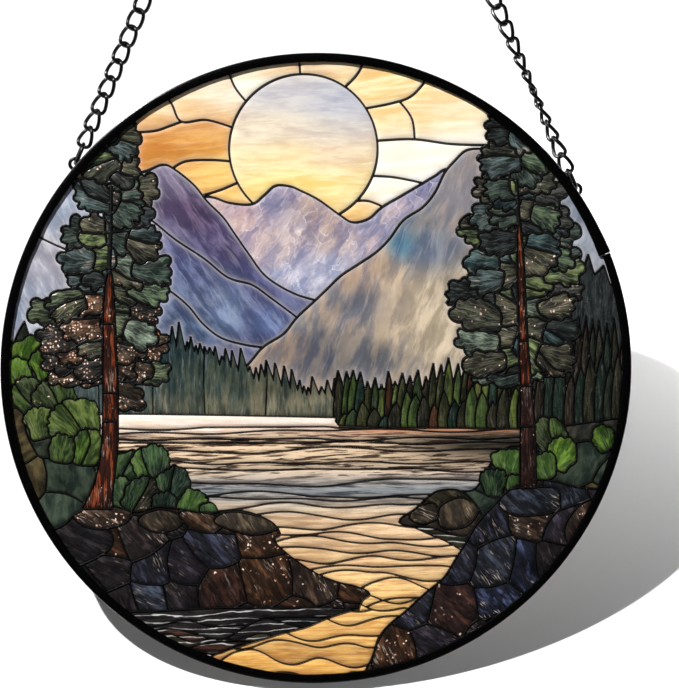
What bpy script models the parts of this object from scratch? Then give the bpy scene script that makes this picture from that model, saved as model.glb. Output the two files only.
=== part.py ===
"""Stained glass suncatcher: a round leaded landscape panel in a black rim, hung on two curb chains.

The picture is laid out flat, in millimetres from the disc's centre, x to the right and y up. Its areas
are painted one over the other as closed outlines, and what still shows of an area is one pane or more.
"""

import math

import bmesh
import bpy
import numpy as np
from mathutils import Vector
from mathutils.geometry import delaunay_2d_cdt

# Sizes are in millimetres, and MM turns them into Blender's metres
MM = 0.001
GAP = 0.3

# Rim: a channel bent round the glass, its two ends meeting at the joint, where its upper end is wider
RIM_RADIUS = 100.0
RIM_FACE = 2.9
RIM_FACE_AT_JOINT = 3.8
RIM_TAPER = math.radians(16)
RIM_DEPTH = 5.0
RIM_WALL = 1.4
RIM_LIP = 0.6
RIM_STEPS = 48
JOINT_ANGLE = math.radians(21.8)
JOINT_GAP = 0.4

# Panel: glass panes held in a network of lead lines
GLASS_RADIUS = 98.0
GLASS_THICKNESS = 2.6
LEAD_WIDTH = 0.7
LEAD_THICKNESS = 3.2
CIRCLE_STEPS = 36
SMALLEST_PANE = 60.0
STRAIGHT_WITHIN = 0.15
MITRE_LIMIT = -0.3

# Hanging rings, soldered behind the rim's edge, and the ring that both chains end in
RING_ANGLES = {"left": math.radians(139.5), "right": math.radians(34.6)}
RING_PLACE = 100.8
RING_RADIUS = 1.7
RING_WIRE = 0.9
TOP_RING_RADIUS = 7.2
TOP_RING_WIRE = 1.6
TOP_RING_HEIGHT = 245.0

# Chains: curb links of black wire, and a plain link at each end
LINK_WIRE = 1.0
LINK_WIDTH = 5.7
LINK_TWIST = 0.85
LINK_CONTACT = 0.35
LINK_END_ANGLE = math.radians(35)
LINK_COUNTS = {"left": 33, "right": 35}
LEFT_ROLL = math.radians(12)
RIGHT_HALF_TURN = (2, 8)

# The rings and chains hang in the plane y = 0, with the origin where a hook carries the top ring
DISC_FORWARD = RIM_DEPTH / 2 + GAP + RING_WIRE / 2
TOP_RING_DROP = TOP_RING_RADIUS - TOP_RING_WIRE / 2
DISC_CENTRE = Vector((0, -DISC_FORWARD, -TOP_RING_DROP - TOP_RING_HEIGHT))

# Picture: the sun, the directions of the sky's rays in degrees and the heights of the lake's lines;
# BEYOND and GROUND lie well outside the disc
BEYOND = 260.0
GROUND = -130.0
SUN_CENTRE = (-4.5, 70.0)
SUN_RADIUS = 23.5
SUN_STEPS = 18
SKY_RAYS = (-36, -9, 20, 66, 118, 148, 178, 240)
LAKE_LINES = (-15, -22, -31, -42, -55)
LAKE_SWELL = 0.6
SWELLS_PER_MM = 0.045

# A clump's edge: lobes round it, how far they stand out and how far its phase turns them
CLUMP_LOBES = ((5, 0.11, 1), (3, 0.07, 2))
# A boulder's back: places across and down from its top, in half widths
HUMP_BACK = ((-1, -0.9), (-0.6, -0.2), (0, 0), (0.6, -0.25), (1, -1))
# A bough spreads this far up and down, with notches cut back to this share of its reach
BOUGH_SPREAD = math.radians(78)
BOUGH_NOTCH = 0.84
# A trunk's tip, and its knee: how far up it is, and its share of the foot's flare
TRUNK_TIP = 1.8
KNEE_PLACE = 0.16
KNEE_FLARE = 0.45
# Every second top of a treeline is lower by this share
LOWER_TOP = 0.35

# Finishes: linear colour, roughness, metallic
FINISHES = {
    "black_metal": ((0.008, 0.008, 0.009), 0.42, 1.0),
    "lead": ((0.012, 0.011, 0.011), 0.5, 1.0),
    "sun": ((0.85, 0.72, 0.52), 0.18, 0.0),
    "sky": ((0.83, 0.55, 0.22), 0.18, 0.0),
    "far_peak": ((0.52, 0.47, 0.62), 0.18, 0.0),
    "left_mountain": ((0.22, 0.24, 0.42), 0.18, 0.0),
    "right_mountain": ((0.34, 0.29, 0.26), 0.18, 0.0),
    "far_forest": ((0.13, 0.17, 0.15), 0.2, 0.0),
    "near_forest": ((0.04, 0.08, 0.035), 0.2, 0.0),
    "lake": ((0.62, 0.42, 0.28), 0.15, 0.0),
    "pine_trunk": ((0.13, 0.035, 0.02), 0.25, 0.0),
    "pine_bough": ((0.035, 0.055, 0.04), 0.25, 0.0),
    "bush": ((0.09, 0.17, 0.04), 0.22, 0.0),
    "bank": ((0.05, 0.055, 0.03), 0.22, 0.0),
    "rock": ((0.05, 0.035, 0.045), 0.22, 0.0),
    "shallows": ((0.06, 0.04, 0.035), 0.2, 0.0),
}


# Plane geometry: an outline is a list of points with its inside on the left


def winding(points, loops):
    """How often the loops go anticlockwise round each point."""
    x, y = points[:, :1], points[:, 1:]
    turns = np.zeros(len(points), int)
    for loop in loops:
        start = np.array(loop)
        end = np.roll(start, -1, axis=0)
        rise = end[:, 1] - start[:, 1]
        rise[rise == 0] = 1
        crossing = start[:, 0] + (y - start[:, 1]) / rise * (end[:, 0] - start[:, 0])
        upward = (start[:, 1] <= y) & (y < end[:, 1]) & (x < crossing)
        downward = (end[:, 1] <= y) & (y < start[:, 1]) & (x < crossing)
        turns += upward.sum(axis=1) - downward.sum(axis=1)
    return turns


def triangles(loops):
    """The plane cut by all the loops into triangles: corner points, faces and face centres."""
    points, edges = [], []
    for loop in loops:
        first = len(points)
        points += [Vector(point) for point in loop]
        edges += [(first + i, first + (i + 1) % len(loop)) for i in range(len(loop))]
    points, _, faces, *_ = delaunay_2d_cdt(points, edges, [], 0, 1e-4)
    points = np.array([tuple(point) for point in points])
    return points, faces, points[np.array(faces)].mean(axis=1)


def half_edges(faces):
    """{(start, end): (its face, the edge after it)} for each side of each face."""
    return {
        (a, b): (index, (b, c))
        for index, face in enumerate(faces)
        for a, b, c in (face, face[1:] + face[:1], face[2:] + face[:2])
    }


def outlines(points, faces, owner):
    """{owner: closed loops} round the faces of each owner, each straight run as one edge."""
    edges = half_edges(faces)

    def on_border(edge):
        other = edges.get(edge[::-1])
        return other is None or owner[other[0]] != owner[edges[edge][0]]

    waiting = {edge: None for edge in edges if on_border(edge)}
    found = {}
    while waiting:
        edge = next(iter(waiting))
        name, loop = owner[edges[edge][0]], []
        while edge in waiting:
            del waiting[edge]
            loop.append(tuple(points[edge[0]]))
            edge = edges[edge][1]
            while not on_border(edge):
                edge = edges[edge[::-1]][1]
        found.setdefault(name, []).append(straightened(loop))
    return found


def straightened(loop, within=STRAIGHT_WITHIN):
    """The loop without the points that lie on the line between their neighbours, or nearly."""
    kept = []
    for point, following in zip(loop, loop[1:] + loop[:1]):
        before = Vector(kept[-1] if kept else loop[-1])
        along = (Vector(following) - before).normalized()
        if abs(along.cross(Vector(point) - before)) > within:
            kept.append(point)
    return kept


def area(loop):
    return sum(Vector(a).cross(Vector(b)) / 2 for a, b in zip(loop, loop[1:] + loop[:1]))


def shrunk(loops, distance):
    """The largest outline that is left when all the edges move inwards, with its holes."""
    raw = []
    for loop in loops:
        path = []
        for i, point in enumerate(loop):
            before, here, behind = (Vector(loop[(i + k) % len(loop)]) for k in (-1, 0, 1))
            first, last = ((b - a).normalized().orthogonal() for a, b in ((before, here), (here, behind)))
            if first.dot(last) > MITRE_LIMIT:
                path.append(here + (first + last) / (1 + first.dot(last)) * distance)
            elif first.cross(last) > 0:
                path += [here + first * distance, here, here + last * distance]
            else:
                path += [here + first * distance, here + last * distance]
        raw.append([tuple(point) for point in path])
    points, faces, centres = triangles(raw)
    left = outlines(points, faces, list(winding(centres, raw) > 0))[True]
    largest = max(left, key=area)
    return [largest] + [loop for loop in left if area(loop) < -1]


# Lines of the picture


def circle(centre, radius, steps):
    angles = [2 * math.pi * i / steps for i in range(steps)]
    return [(centre[0] + radius * math.cos(a), centre[1] + radius * math.sin(a)) for a in angles]


def below(line):
    """All that lies under a line drawn from left to right."""
    return [(line[0][0], GROUND), (line[-1][0], GROUND), *reversed(line)]


def wave(height, phase, steps=7):
    """A lake line across the whole disc."""
    places = [-RIM_RADIUS + 2 * RIM_RADIUS * i / steps for i in range(steps + 1)]
    return [(x, height + LAKE_SWELL * math.sin(SWELLS_PER_MM * x + phase)) for x in places]


def saw(start, end, teeth, height):
    """A treeline of pointed tops from start to end."""
    start, end = Vector(start), Vector(end)
    line = []
    for i in range(teeth):
        rise = Vector((0, height * (1 - LOWER_TOP * (i % 2))))
        line += [start.lerp(end, i / teeth), start.lerp(end, (i + 0.5) / teeth) + rise]
    return [tuple(point) for point in line + [end]]


def clump(centre, half_width, half_height, phase, steps=10):
    """A crown of leaves or needles with an uneven edge."""
    loop = []
    for i in range(steps):
        angle = 2 * math.pi * i / steps
        reach = 1 + sum(depth * math.sin(lobes * angle + turn * phase) for lobes, depth, turn in CLUMP_LOBES)
        loop.append((
            centre[0] + half_width * reach * math.cos(angle),
            centre[1] + half_height * reach * math.sin(angle),
        ))
    return loop


def hump(middle, half_width, top):
    """A boulder's rounded back, standing on the ground line."""
    return below([(middle + across * half_width, top + down * half_width) for across, down in HUMP_BACK])


def bough(joint, reach, depth, teeth=3):
    """A fan of needles on one side of the trunk, its edge cut into teeth; a negative reach is to the left."""
    loop = [tuple(joint)]
    for k in range(2 * teeth):
        angle = BOUGH_SPREAD * (2 * k / (2 * teeth - 1) - 1)
        share = BOUGH_NOTCH if k % 2 else 1
        loop.append((
            joint[0] + reach * share * math.cos(angle),
            joint[1] + depth / 2 * share * math.sin(angle),
        ))
    return loop


def trunk(foot, top, foot_width):
    """A tapering trunk that flares at its foot."""
    knee_width = TRUNK_TIP + (foot_width - TRUNK_TIP) * KNEE_FLARE
    rungs = ((foot, foot_width), (foot.lerp(top, KNEE_PLACE), knee_width), (top, TRUNK_TIP))
    right = [(middle.x + width / 2, middle.y) for middle, width in rungs]
    left = [(middle.x - width / 2, middle.y) for middle, width in rungs]
    return right + left[::-1]


# Areas of the picture: (name, outline, the area that it stays within or None)


def sky():
    def far(degrees):
        angle = math.radians(degrees)
        return (SUN_CENTRE[0] + BEYOND * math.cos(angle), SUN_CENTRE[1] + BEYOND * math.sin(angle))

    rays = [("sky", [SUN_CENTRE, far(a), far(b)], None) for a, b in zip(SKY_RAYS, SKY_RAYS[1:])]
    return rays + [("sun", circle(SUN_CENTRE, SUN_RADIUS, SUN_STEPS), None)]


def mountains():
    far_peak = [(-60, 44), (-34, 57), (-25, 52), (-13, 60), (-4, 58), (8, 48), (20, 57), (48, 70)]
    left_ridge = [(-110, 40), (-70, 60), (-49, 65), (-36, 55), (-19, 32), (-4, 23), (8, 16)]
    left_spur = [(-68, 40), (-52, 46), (-32, 33), (-8, 17)]
    left_foot = [(-62, 30), (-36, 17), (-14, 9)]
    right_ridge = [(-34, -2), (-15, 12), (1, 27), (15, 39), (27, 53), (43, 70), (60, 74), (110, 60)]
    return [
        ("far_peak", below(far_peak), None),
        ("left_mountain", below(left_ridge), None),
        ("left_mountain", below(left_spur), "left_mountain"),
        ("left_mountain", below(left_foot), "left_mountain"),
        ("right_mountain", below(right_ridge), None),
    ]


def forest():
    far_shore = saw((-56, 2), (6, -5), 5, 9)
    near_shore = saw((6, -4), (66, 4), 5, 9)
    return [
        ("far_forest", below([(-110, 6), *far_shore]), None),
        ("near_forest", below([*near_shore, (70, 52), (110, 40)]), None),
        ("near_forest", below([(36, 60), (110, 60)]), "near_forest"),
    ]


def lake():
    return [("lake", below(wave(height, 2.1 * i)), None) for i, height in enumerate(LAKE_LINES)]


def shores():
    left_bank = [(-110, 8), (-90, 9), (-79, -3), (-69, -22), (-54, -25), (-41, -36), (-33, -47)]
    left_rocks = [(-100, -54), (-78, -45), (-58, -43), (-34, -45), (-16, -53), (0, -62), (18, -76), (19, -90)]
    front_water = [(-42, -110), (-33, -92), (-8, -85), (6, -80), (19, -76), (40, -76)]
    right_bank = [(50, -40), (53, -29), (62, -26), (74, -20), (88, -10), (110, -6)]
    right_rocks = [(16, -94), (22, -84), (36, -70), (45, -56), (27, -51), (36, -43), (52, -41), (66, -35),
                   (110, -30)]
    return [
        ("bank", below(left_bank), None),
        ("bush", below([(-110, 8), (-90, 9), (-79, -3), (-71, -19), (-82, -26), (-110, -12)]), None),
        ("bank", below(right_bank), None),
        ("bush", below([(67, -14), (110, -14)]), "bank"),
        ("rock", below(left_rocks), None),
        *(("rock", hump(middle, 18, top), "rock") for middle, top in ((-70, -54), (-42, -52), (-14, -60))),
        ("shallows", below([(-110, -76), (-60, -77), (-20, -79), (20, -77)]), "rock"),
        ("lake", below(front_water), None),
        ("rock", below(right_rocks), None),
        *(("rock", hump(middle, 16, top), "rock") for middle, top in ((78, -42), (56, -50), (36, -66))),
    ]


def pine(foot, top, foot_width, crown, boughs):
    """A pine: its crown, its boughs (height, reach, depth) and its trunk in front of them."""
    foot, top = Vector(foot), Vector(top)
    areas = [("pine_bough", clump(crown, 13, 12, 0.6), None)]
    for height, reach, depth in boughs:
        joint = foot.lerp(top, (height - foot.y) / (top.y - foot.y))
        areas.append(("pine_bough", bough(joint, reach, depth), None))
    return areas + [("pine_trunk", trunk(foot, top, foot_width), None)]


def picture():
    """The picture's areas from back to front."""
    left_boughs = ((-4, -22, 20), (12, -27, 28), (38, -16, 26), (0, 18, 22), (19, 18, 24), (42, 17, 28))
    right_boughs = ((10, -18, 26), (42, -16, 32), (2, 27, 28), (27, 28, 32), (50, 22, 26))
    left_pine = pine((-68.5, -45), (-67, 58), 9.5, (-66, 68), left_boughs)
    right_pine = pine((67, -37), (64, 58), 8, (66, 68), right_boughs)
    return [*sky(), *mountains(), *forest(), *lake(), *shores(), *left_pine, *right_pine]


def patches(points, faces, shows):
    """A number for each face, the same on all faces of one patch; small patches join a neighbour."""
    edges = half_edges(faces)
    patch = np.full(len(faces), -1)
    beside = [
        [edges.get(edge[::-1], (None,))[0] for edge in zip(face, face[1:] + face[:1])]
        for face in faces
    ]
    for seed in range(len(faces)):
        if shows[seed] < 0 or patch[seed] >= 0:
            continue
        patch[seed] = seed
        front = [seed]
        while front:
            for other in beside[front.pop()]:
                if other is not None and patch[other] < 0 and shows[other] == shows[seed]:
                    patch[other] = seed
                    front.append(other)
    corners = points[np.array(faces)]
    sides = corners[:, 1:] - corners[:, :1]
    sizes = abs(sides[:, 0, 0] * sides[:, 1, 1] - sides[:, 0, 1] * sides[:, 1, 0]) / 2
    while True:
        total = {number: sizes[patch == number].sum() for number in sorted(set(patch)) if number >= 0}
        least = min(total, key=total.get)
        if total[least] >= SMALLEST_PANE:
            return patch
        shared = {}
        for (a, b), (face, _) in edges.items():
            other = edges.get((b, a))
            if patch[face] == least and other and patch[other[0]] not in (least, -1):
                length = np.linalg.norm(points[a] - points[b])
                shared[patch[other[0]]] = shared.get(patch[other[0]], 0) + length
        joined = max(shared, key=shared.get)
        shows[patch == least] = shows[patch == joined][0]
        patch[patch == least] = joined


def panes():
    """[(name, number, loops)] of the panes, numbered from back to front and from left to right."""
    areas = picture()
    names = np.array([name for name, _, _ in areas])
    edge = circle((0, 0), GLASS_RADIUS, CIRCLE_STEPS)
    points, faces, centres = triangles([edge] + [outline for _, outline, _ in areas])
    in_glass = winding(centres, [edge]) != 0
    shows = np.where(in_glass, 0, -1)
    for index, (name, outline, within) in enumerate(areas):
        covered = in_glass & (winding(centres, [outline]) != 0)
        shows[covered & (names[shows] == within) if within else covered] = index
    patch = patches(points, faces, shows)
    found = outlines(points, faces, list(patch))
    found.pop(-1)
    order = sorted(found, key=lambda number: (shows[number], centres[number][0]))
    count = {}
    listed = []
    for number in order:
        name = str(names[shows[number]])
        count[name] = count.get(name, 0) + 1
        listed.append((name, count[name], found[number]))
    return listed


# Objects


def clear_scene():
    for obj in list(bpy.data.objects):
        bpy.data.objects.remove(obj, do_unlink=True)


def collection(name):
    group = bpy.data.collections.new(name)
    bpy.context.scene.collection.children.link(group)
    return group


def finish(name):
    """The Principled material of this name."""
    material = bpy.data.materials.get(name)
    if material is None:
        material = bpy.data.materials.new(name)
        material.use_nodes = True
        colour, roughness, metallic = FINISHES[name]
        shader = material.node_tree.nodes["Principled BSDF"]
        shader.inputs["Base Color"].default_value = (*colour, 1)
        shader.inputs["Roughness"].default_value = roughness
        shader.inputs["Metallic"].default_value = metallic
    return material


def place(obj, group, material, parent=None):
    """The object in this collection only, with its material, on the parent's frame."""
    for holder in list(obj.users_collection):
        holder.objects.unlink(obj)
    group.objects.link(obj)
    obj.data.materials.append(finish(material))
    obj.parent = parent
    return obj


def disc_frame(group):
    """An empty at the disc's centre: its x runs to the right, its y up and its z to the front."""
    empty = bpy.data.objects.new("disc_frame", None)
    empty.location = DISC_CENTRE * MM
    empty.rotation_euler = (math.radians(90), 0, 0)
    group.objects.link(empty)
    return empty


def make_rim(group, frame):
    """The channel lofted from one side of the joint round to the other, its flats on the rim's radius."""
    first = JOINT_ANGLE + JOINT_GAP / RIM_RADIUS / 2
    sweep = 2 * math.pi - JOINT_GAP / RIM_RADIUS
    outer = RIM_RADIUS / math.cos(sweep / RIM_STEPS / 2)
    lip = RIM_DEPTH / 2 - RIM_LIP
    mesh = bmesh.new()
    sections = []
    for i in range(RIM_STEPS + 1):
        turn = sweep * i / RIM_STEPS
        face = RIM_FACE + (RIM_FACE_AT_JOINT - RIM_FACE) * math.exp(-turn / RIM_TAPER)
        inner, floor = RIM_RADIUS - face, RIM_RADIUS - RIM_WALL
        half = RIM_DEPTH / 2
        channel = (
            (outer, -half), (outer, half), (inner, half), (inner, lip),
            (floor, lip), (floor, -lip), (inner, -lip), (inner, -half),
        )
        spoke = Vector((math.cos(first + turn), math.sin(first + turn), 0))
        corners = [spoke * reach + Vector((0, 0, depth)) for reach, depth in channel]
        sections.append([mesh.verts.new(corner * MM) for corner in corners])
    for near, far in zip(sections, sections[1:]):
        for k in range(len(near)):
            mesh.faces.new((near[k - 1], far[k - 1], far[k], near[k]))
    mesh.faces.new(sections[0])
    mesh.faces.new(sections[-1][::-1])
    bmesh.ops.recalc_face_normals(mesh, faces=mesh.faces)
    data = bpy.data.meshes.new("rim")
    mesh.to_mesh(data)
    mesh.free()
    data.shade_smooth()
    data.set_sharp_from_angle(angle=math.radians(30))
    place(bpy.data.objects.new("rim", data), group, "black_metal", frame)


def make_plate(name, loops, thickness, material, group, frame):
    """A flat plate with these outlines, in the middle of the disc's depth."""
    curve = bpy.data.curves.new(name, "CURVE")
    curve.dimensions = "2D"
    curve.fill_mode = "BOTH"
    curve.extrude = thickness / 2 * MM
    for loop in loops:
        spline = curve.splines.new("POLY")
        spline.points.add(len(loop) - 1)
        for point, (x, y) in zip(spline.points, loop):
            point.co = (x * MM, y * MM, 0, 1)
        spline.use_cyclic_u = True
    place(bpy.data.objects.new(name, curve), group, material, frame)


def make_panel(group, frame):
    """The panes, each a gap away from its lead, and the lead network between them."""
    listed = panes()
    repeated = {name for name, number, _ in listed if number > 1}
    network = [circle((0, 0), GLASS_RADIUS + GAP, CIRCLE_STEPS)]
    for name, number, loops in listed:
        opening = shrunk(loops, LEAD_WIDTH / 2)
        network += opening
        label = f"{name}_{number}" if name in repeated else name
        make_plate(label, shrunk(opening, GAP), GLASS_THICKNESS, name, group, frame)
    make_plate("lead_lines", network, LEAD_THICKNESS, "lead", group, frame)


def make_ring(name, radius, wire, centre, steps, group):
    """A round ring of wire that faces the front."""
    bpy.ops.mesh.primitive_torus_add(
        major_segments=steps, minor_segments=6, major_radius=radius * MM, minor_radius=wire / 2 * MM,
        location=centre * MM, rotation=(math.radians(90), 0, 0),
    )
    ring = place(bpy.context.object, group, "black_metal")
    ring.name = name
    ring.data.shade_smooth()


def ring_centre(side):
    """Where a hanging ring's centre lies, behind the rim's edge."""
    angle = RING_ANGLES[side]
    return Vector((math.cos(angle) * RING_PLACE, 0, math.sin(angle) * RING_PLACE + DISC_CENTRE.z))


def link_roll(side, index):
    """How far a link is turned about the chain; the right chain makes half a turn on its way up."""
    if side == "left":
        return LEFT_ROLL
    first, last = RIGHT_HALF_TURN
    share = min(max((index - first) / (last - first), 0), 1)
    return math.pi * share * share * (3 - 2 * share)


def link_path(centre, along, roll, half_length, twist):
    """Six points round a link: two flat ends and a bend in the middle of each side."""
    face = Vector((0, -1, 0)) * math.cos(roll) + along.cross(Vector((0, -1, 0))) * math.sin(roll)
    across = along.cross(face)
    half_width = (LINK_WIDTH - LINK_WIRE) / 2
    points = []
    for angle in (LINK_END_ANGLE, math.pi / 2, math.pi - LINK_END_ANGLE):
        for turn in (angle, angle + math.pi):
            points.append((turn, centre + along * (half_length * math.cos(turn) / math.cos(LINK_END_ANGLE))
                           + across * (half_width * math.sin(turn)) + face * (twist * math.sin(2 * turn))))
    return [point for _, point in sorted(points, key=lambda pair: pair[0])]


def link_paths(side):
    """The paths of a chain's links, taut between its hanging ring and the top ring."""
    start = ring_centre(side)
    top = Vector((0, 0, -TOP_RING_DROP))
    along = (top - start).normalized()
    start += along * (RING_RADIUS - RING_WIRE / 2 - GAP - LINK_WIRE / 2)
    end = top - along * (TOP_RING_RADIUS - TOP_RING_WIRE / 2 - GAP - LINK_WIRE / 2)
    count = LINK_COUNTS[side]
    lap = LINK_WIRE - LINK_CONTACT
    pitch = ((end - start).length - lap) / count
    half_length = (pitch + lap) / 2
    paths = []
    for i in range(count):
        centre = start + along * (half_length + pitch * i)
        plain = i in (0, count - 1)
        roll = math.pi / 2 if plain else link_roll(side, i)
        paths.append(link_path(centre, along, roll, half_length, 0 if plain else LINK_TWIST))
    return paths


def wire_mesh(name, paths):
    """Closed rings of round wire along the paths, as one mesh object."""
    curve = bpy.data.curves.new(name, "CURVE")
    curve.dimensions = "3D"
    curve.bevel_depth = LINK_WIRE / 2 * MM
    curve.bevel_resolution = 0
    for path in paths:
        spline = curve.splines.new("POLY")
        spline.points.add(len(path) - 1)
        for point, place_at in zip(spline.points, path):
            point.co = (*(place_at * MM), 1)
        spline.use_cyclic_u = True
    drawn = bpy.data.objects.new(name, curve)
    bpy.context.scene.collection.objects.link(drawn)
    bpy.context.view_layer.update()
    data = bpy.data.meshes.new_from_object(drawn.evaluated_get(bpy.context.evaluated_depsgraph_get()))
    bpy.data.objects.remove(drawn)
    mesh = bmesh.new()
    mesh.from_mesh(data)
    bmesh.ops.remove_doubles(mesh, verts=mesh.verts, dist=0.001 * MM)
    bmesh.ops.recalc_face_normals(mesh, faces=mesh.faces)
    mesh.to_mesh(data)
    mesh.free()
    return bpy.data.objects.new(name, data)


def make_chain(side, group, helpers):
    """A chain of links that hook through each other: every second link is united with the rest."""
    paths = link_paths(side)
    chain = place(wire_mesh(f"chain_{side}", paths[::2]), group, "black_metal")
    others = place(wire_mesh(f"chain_{side}_other_links", paths[1::2]), helpers, "black_metal")
    others.hide_render = True
    others.display_type = "WIRE"
    union = chain.modifiers.new("other links", "BOOLEAN")
    union.operation = "UNION"
    union.solver = "EXACT"
    union.object = others


def main():
    clear_scene()
    group = collection("suncatcher")
    helpers = collection("helpers")
    frame = disc_frame(group)
    make_rim(group, frame)
    make_panel(group, frame)
    for side in ("left", "right"):
        make_ring(f"hanging_ring_{side}", RING_RADIUS, RING_WIRE, ring_centre(side), 8, group)
        make_chain(side, group, helpers)
    make_ring("top_ring", TOP_RING_RADIUS, TOP_RING_WIRE, Vector((0, 0, -TOP_RING_DROP)), 16, group)


if __name__ == "__main__":
    main()
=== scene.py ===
"""Looks of the stained glass suncatcher: the leaded picture, pane by pane, its rim, rings and chains.

The picture is laid out flat, in millimetres from the disc's centre, x to the right and y up. Areas are
painted one over the other as closed outlines, and cuts divide an area into panes.
"""

import math
import random
from functools import cache

import bpy
import numpy as np
from mathutils import Matrix, Vector, noise
from mathutils.geometry import delaunay_2d_cdt


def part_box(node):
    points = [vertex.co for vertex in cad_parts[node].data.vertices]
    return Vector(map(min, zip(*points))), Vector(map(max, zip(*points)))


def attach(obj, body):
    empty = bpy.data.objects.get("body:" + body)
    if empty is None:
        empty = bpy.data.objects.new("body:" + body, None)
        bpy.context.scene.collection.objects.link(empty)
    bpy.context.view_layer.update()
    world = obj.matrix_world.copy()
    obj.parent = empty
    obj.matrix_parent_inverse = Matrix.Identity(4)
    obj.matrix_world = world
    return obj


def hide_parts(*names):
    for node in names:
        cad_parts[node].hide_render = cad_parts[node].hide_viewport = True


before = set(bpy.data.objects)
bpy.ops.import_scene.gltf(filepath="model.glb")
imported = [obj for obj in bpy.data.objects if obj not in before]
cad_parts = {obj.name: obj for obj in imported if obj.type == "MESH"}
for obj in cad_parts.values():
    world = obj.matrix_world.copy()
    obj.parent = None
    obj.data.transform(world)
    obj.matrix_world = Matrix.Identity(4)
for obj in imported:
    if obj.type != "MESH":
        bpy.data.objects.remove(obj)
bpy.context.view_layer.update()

MM = 0.001

# The disc, from the frame: its local x runs to the right, y up and z to the front
rim_low, rim_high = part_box("rim")
DISC_CENTRE = (rim_low + rim_high) / 2
DISC = Matrix.Translation(DISC_CENTRE) @ Matrix.Rotation(math.pi / 2, 4, "X")
RIM_RADIUS = 100.0
RIM_DEPTH = (rim_high.y - rim_low.y) / MM
GLASS_RADIUS = 98.3
GLASS_FRONT = 1.3
GLASS_BACK = 0.9 * GLASS_FRONT
GLASS_EDGE = 0.95
GLASS_ROUNDING = 0.45
GLASS_RISE = (0.9, 1.0)
LEAD_FRONT = 1.6
LEAD_EDGE = 1.1

# Drawing, in mm and square mm: BEYOND lies well outside the disc
STEP = 1.0
CIRCLE_STEPS = 360
BEYOND = 130.0
TOUCHING = 1e-4
MITRE_LIMIT = -0.3
SMALLEST_OUTLINE = 0.15
SMALLEST_PANE = 1.6
LEAST_SHARED_EDGE = 0.2
LEAD_OVERLAP = 0.08
GLASS_GRID = 1.25
PICTURE_SEED = 8
GLASS_SEED = 21

# Half the width of the lead line beside a pane of each kind
HALF_LINE = {
    "sky": 0.34, "sun": 0.34, "far_peak": 0.34, "left_mountain": 0.32, "right_mountain": 0.34,
    "far_forest": 0.1, "near_forest": 0.22, "lake": 0.15, "pine_trunk": 0.34, "pine_bough": 0.4,
    "bush": 0.28, "bank": 0.3, "rock": 0.3, "shallows": 0.16,
}


# Plane geometry: an outline is a list of points with its inside on the left


def winding(points, loops):
    """How often the loops go anticlockwise round each point."""
    turns = np.zeros(len(points), int)
    for loop in loops:
        start = np.array(loop)
        near = np.flatnonzero(((points > start.min(axis=0)) & (points < start.max(axis=0))).all(axis=1))
        x, y = points[near, :1], points[near, 1:]
        end = np.roll(start, -1, axis=0)
        rise = end[:, 1] - start[:, 1]
        rise[rise == 0] = 1
        crossing = start[:, 0] + (y - start[:, 1]) / rise * (end[:, 0] - start[:, 0])
        upward = (start[:, 1] <= y) & (y < end[:, 1]) & (x < crossing)
        downward = (end[:, 1] <= y) & (y < start[:, 1]) & (x < crossing)
        turns[near] += upward.sum(axis=1) - downward.sum(axis=1)
    return turns


def sides(loops, lines=()):
    """The points of closed loops and open lines, and the edges between them."""
    points, edges = [], []
    for path, closed in [(loop, 1) for loop in loops] + [(line, 0) for line in lines]:
        first = len(points)
        points += path
        edges += [(first + i, first + (i + 1) % len(path)) for i in range(len(path) - 1 + closed)]
    return points, edges


def triangles(points, edges):
    """The plane cut along the edges: corners, faces, face centres, and the whole result."""
    result = delaunay_2d_cdt([Vector(point) for point in points], edges, [], 0, TOUCHING)
    corners = np.array([tuple(corner) for corner in result[0]])
    faces = result[2]
    return corners, faces, corners[np.array(faces)].mean(axis=1), result


def half_edges(faces):
    """{(start, end): (its face, the edge after it)} for each side of each face."""
    return {
        (a, b): (index, (b, c))
        for index, face in enumerate(faces)
        for a, b, c in (face, face[1:] + face[:1], face[2:] + face[:2])
    }


def outlines(corners, edges, owner):
    """{owner: closed loops} round the faces of each owner."""

    def on_border(edge):
        other = edges.get(edge[::-1])
        return other is None or owner[other[0]] != owner[edges[edge][0]]

    waiting = {edge: None for edge in edges if on_border(edge)}
    found = {}
    while waiting:
        edge = next(iter(waiting))
        name, loop = owner[edges[edge][0]], []
        while edge in waiting:
            del waiting[edge]
            loop.append(tuple(corners[edge[0]]))
            edge = edges[edge][1]
            while not on_border(edge):
                edge = edges[edge[::-1]][1]
        found.setdefault(name, []).append(loop)
    return found


def area(loop):
    x, y = np.array(loop).T
    return (x * np.roll(y, -1) - y * np.roll(x, -1)).sum() / 2


def shrunk(loops, distance):
    """What is left when all the edges move inwards: its outlines and holes."""
    raw = []
    for loop in loops:
        path = []
        for i, point in enumerate(loop):
            before, here, behind = (Vector(loop[(i + k) % len(loop)]) for k in (-1, 0, 1))
            first, last = ((b - a).normalized().orthogonal() for a, b in ((before, here), (here, behind)))
            if first.dot(last) > MITRE_LIMIT:
                path.append(here + (first + last) / (1 + first.dot(last)) * distance)
            elif first.cross(last) > 0:
                path += [here + first * distance, here, here + last * distance]
            else:
                path += [here + first * distance, here + last * distance]
        raw.append([tuple(point) for point in path])
    corners, faces, centres, _ = triangles(*sides(raw))
    left = outlines(corners, half_edges(faces), list(winding(centres, raw) > 0)).get(True, [])
    return [loop for loop in left if abs(area(loop)) > SMALLEST_OUTLINE]


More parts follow.
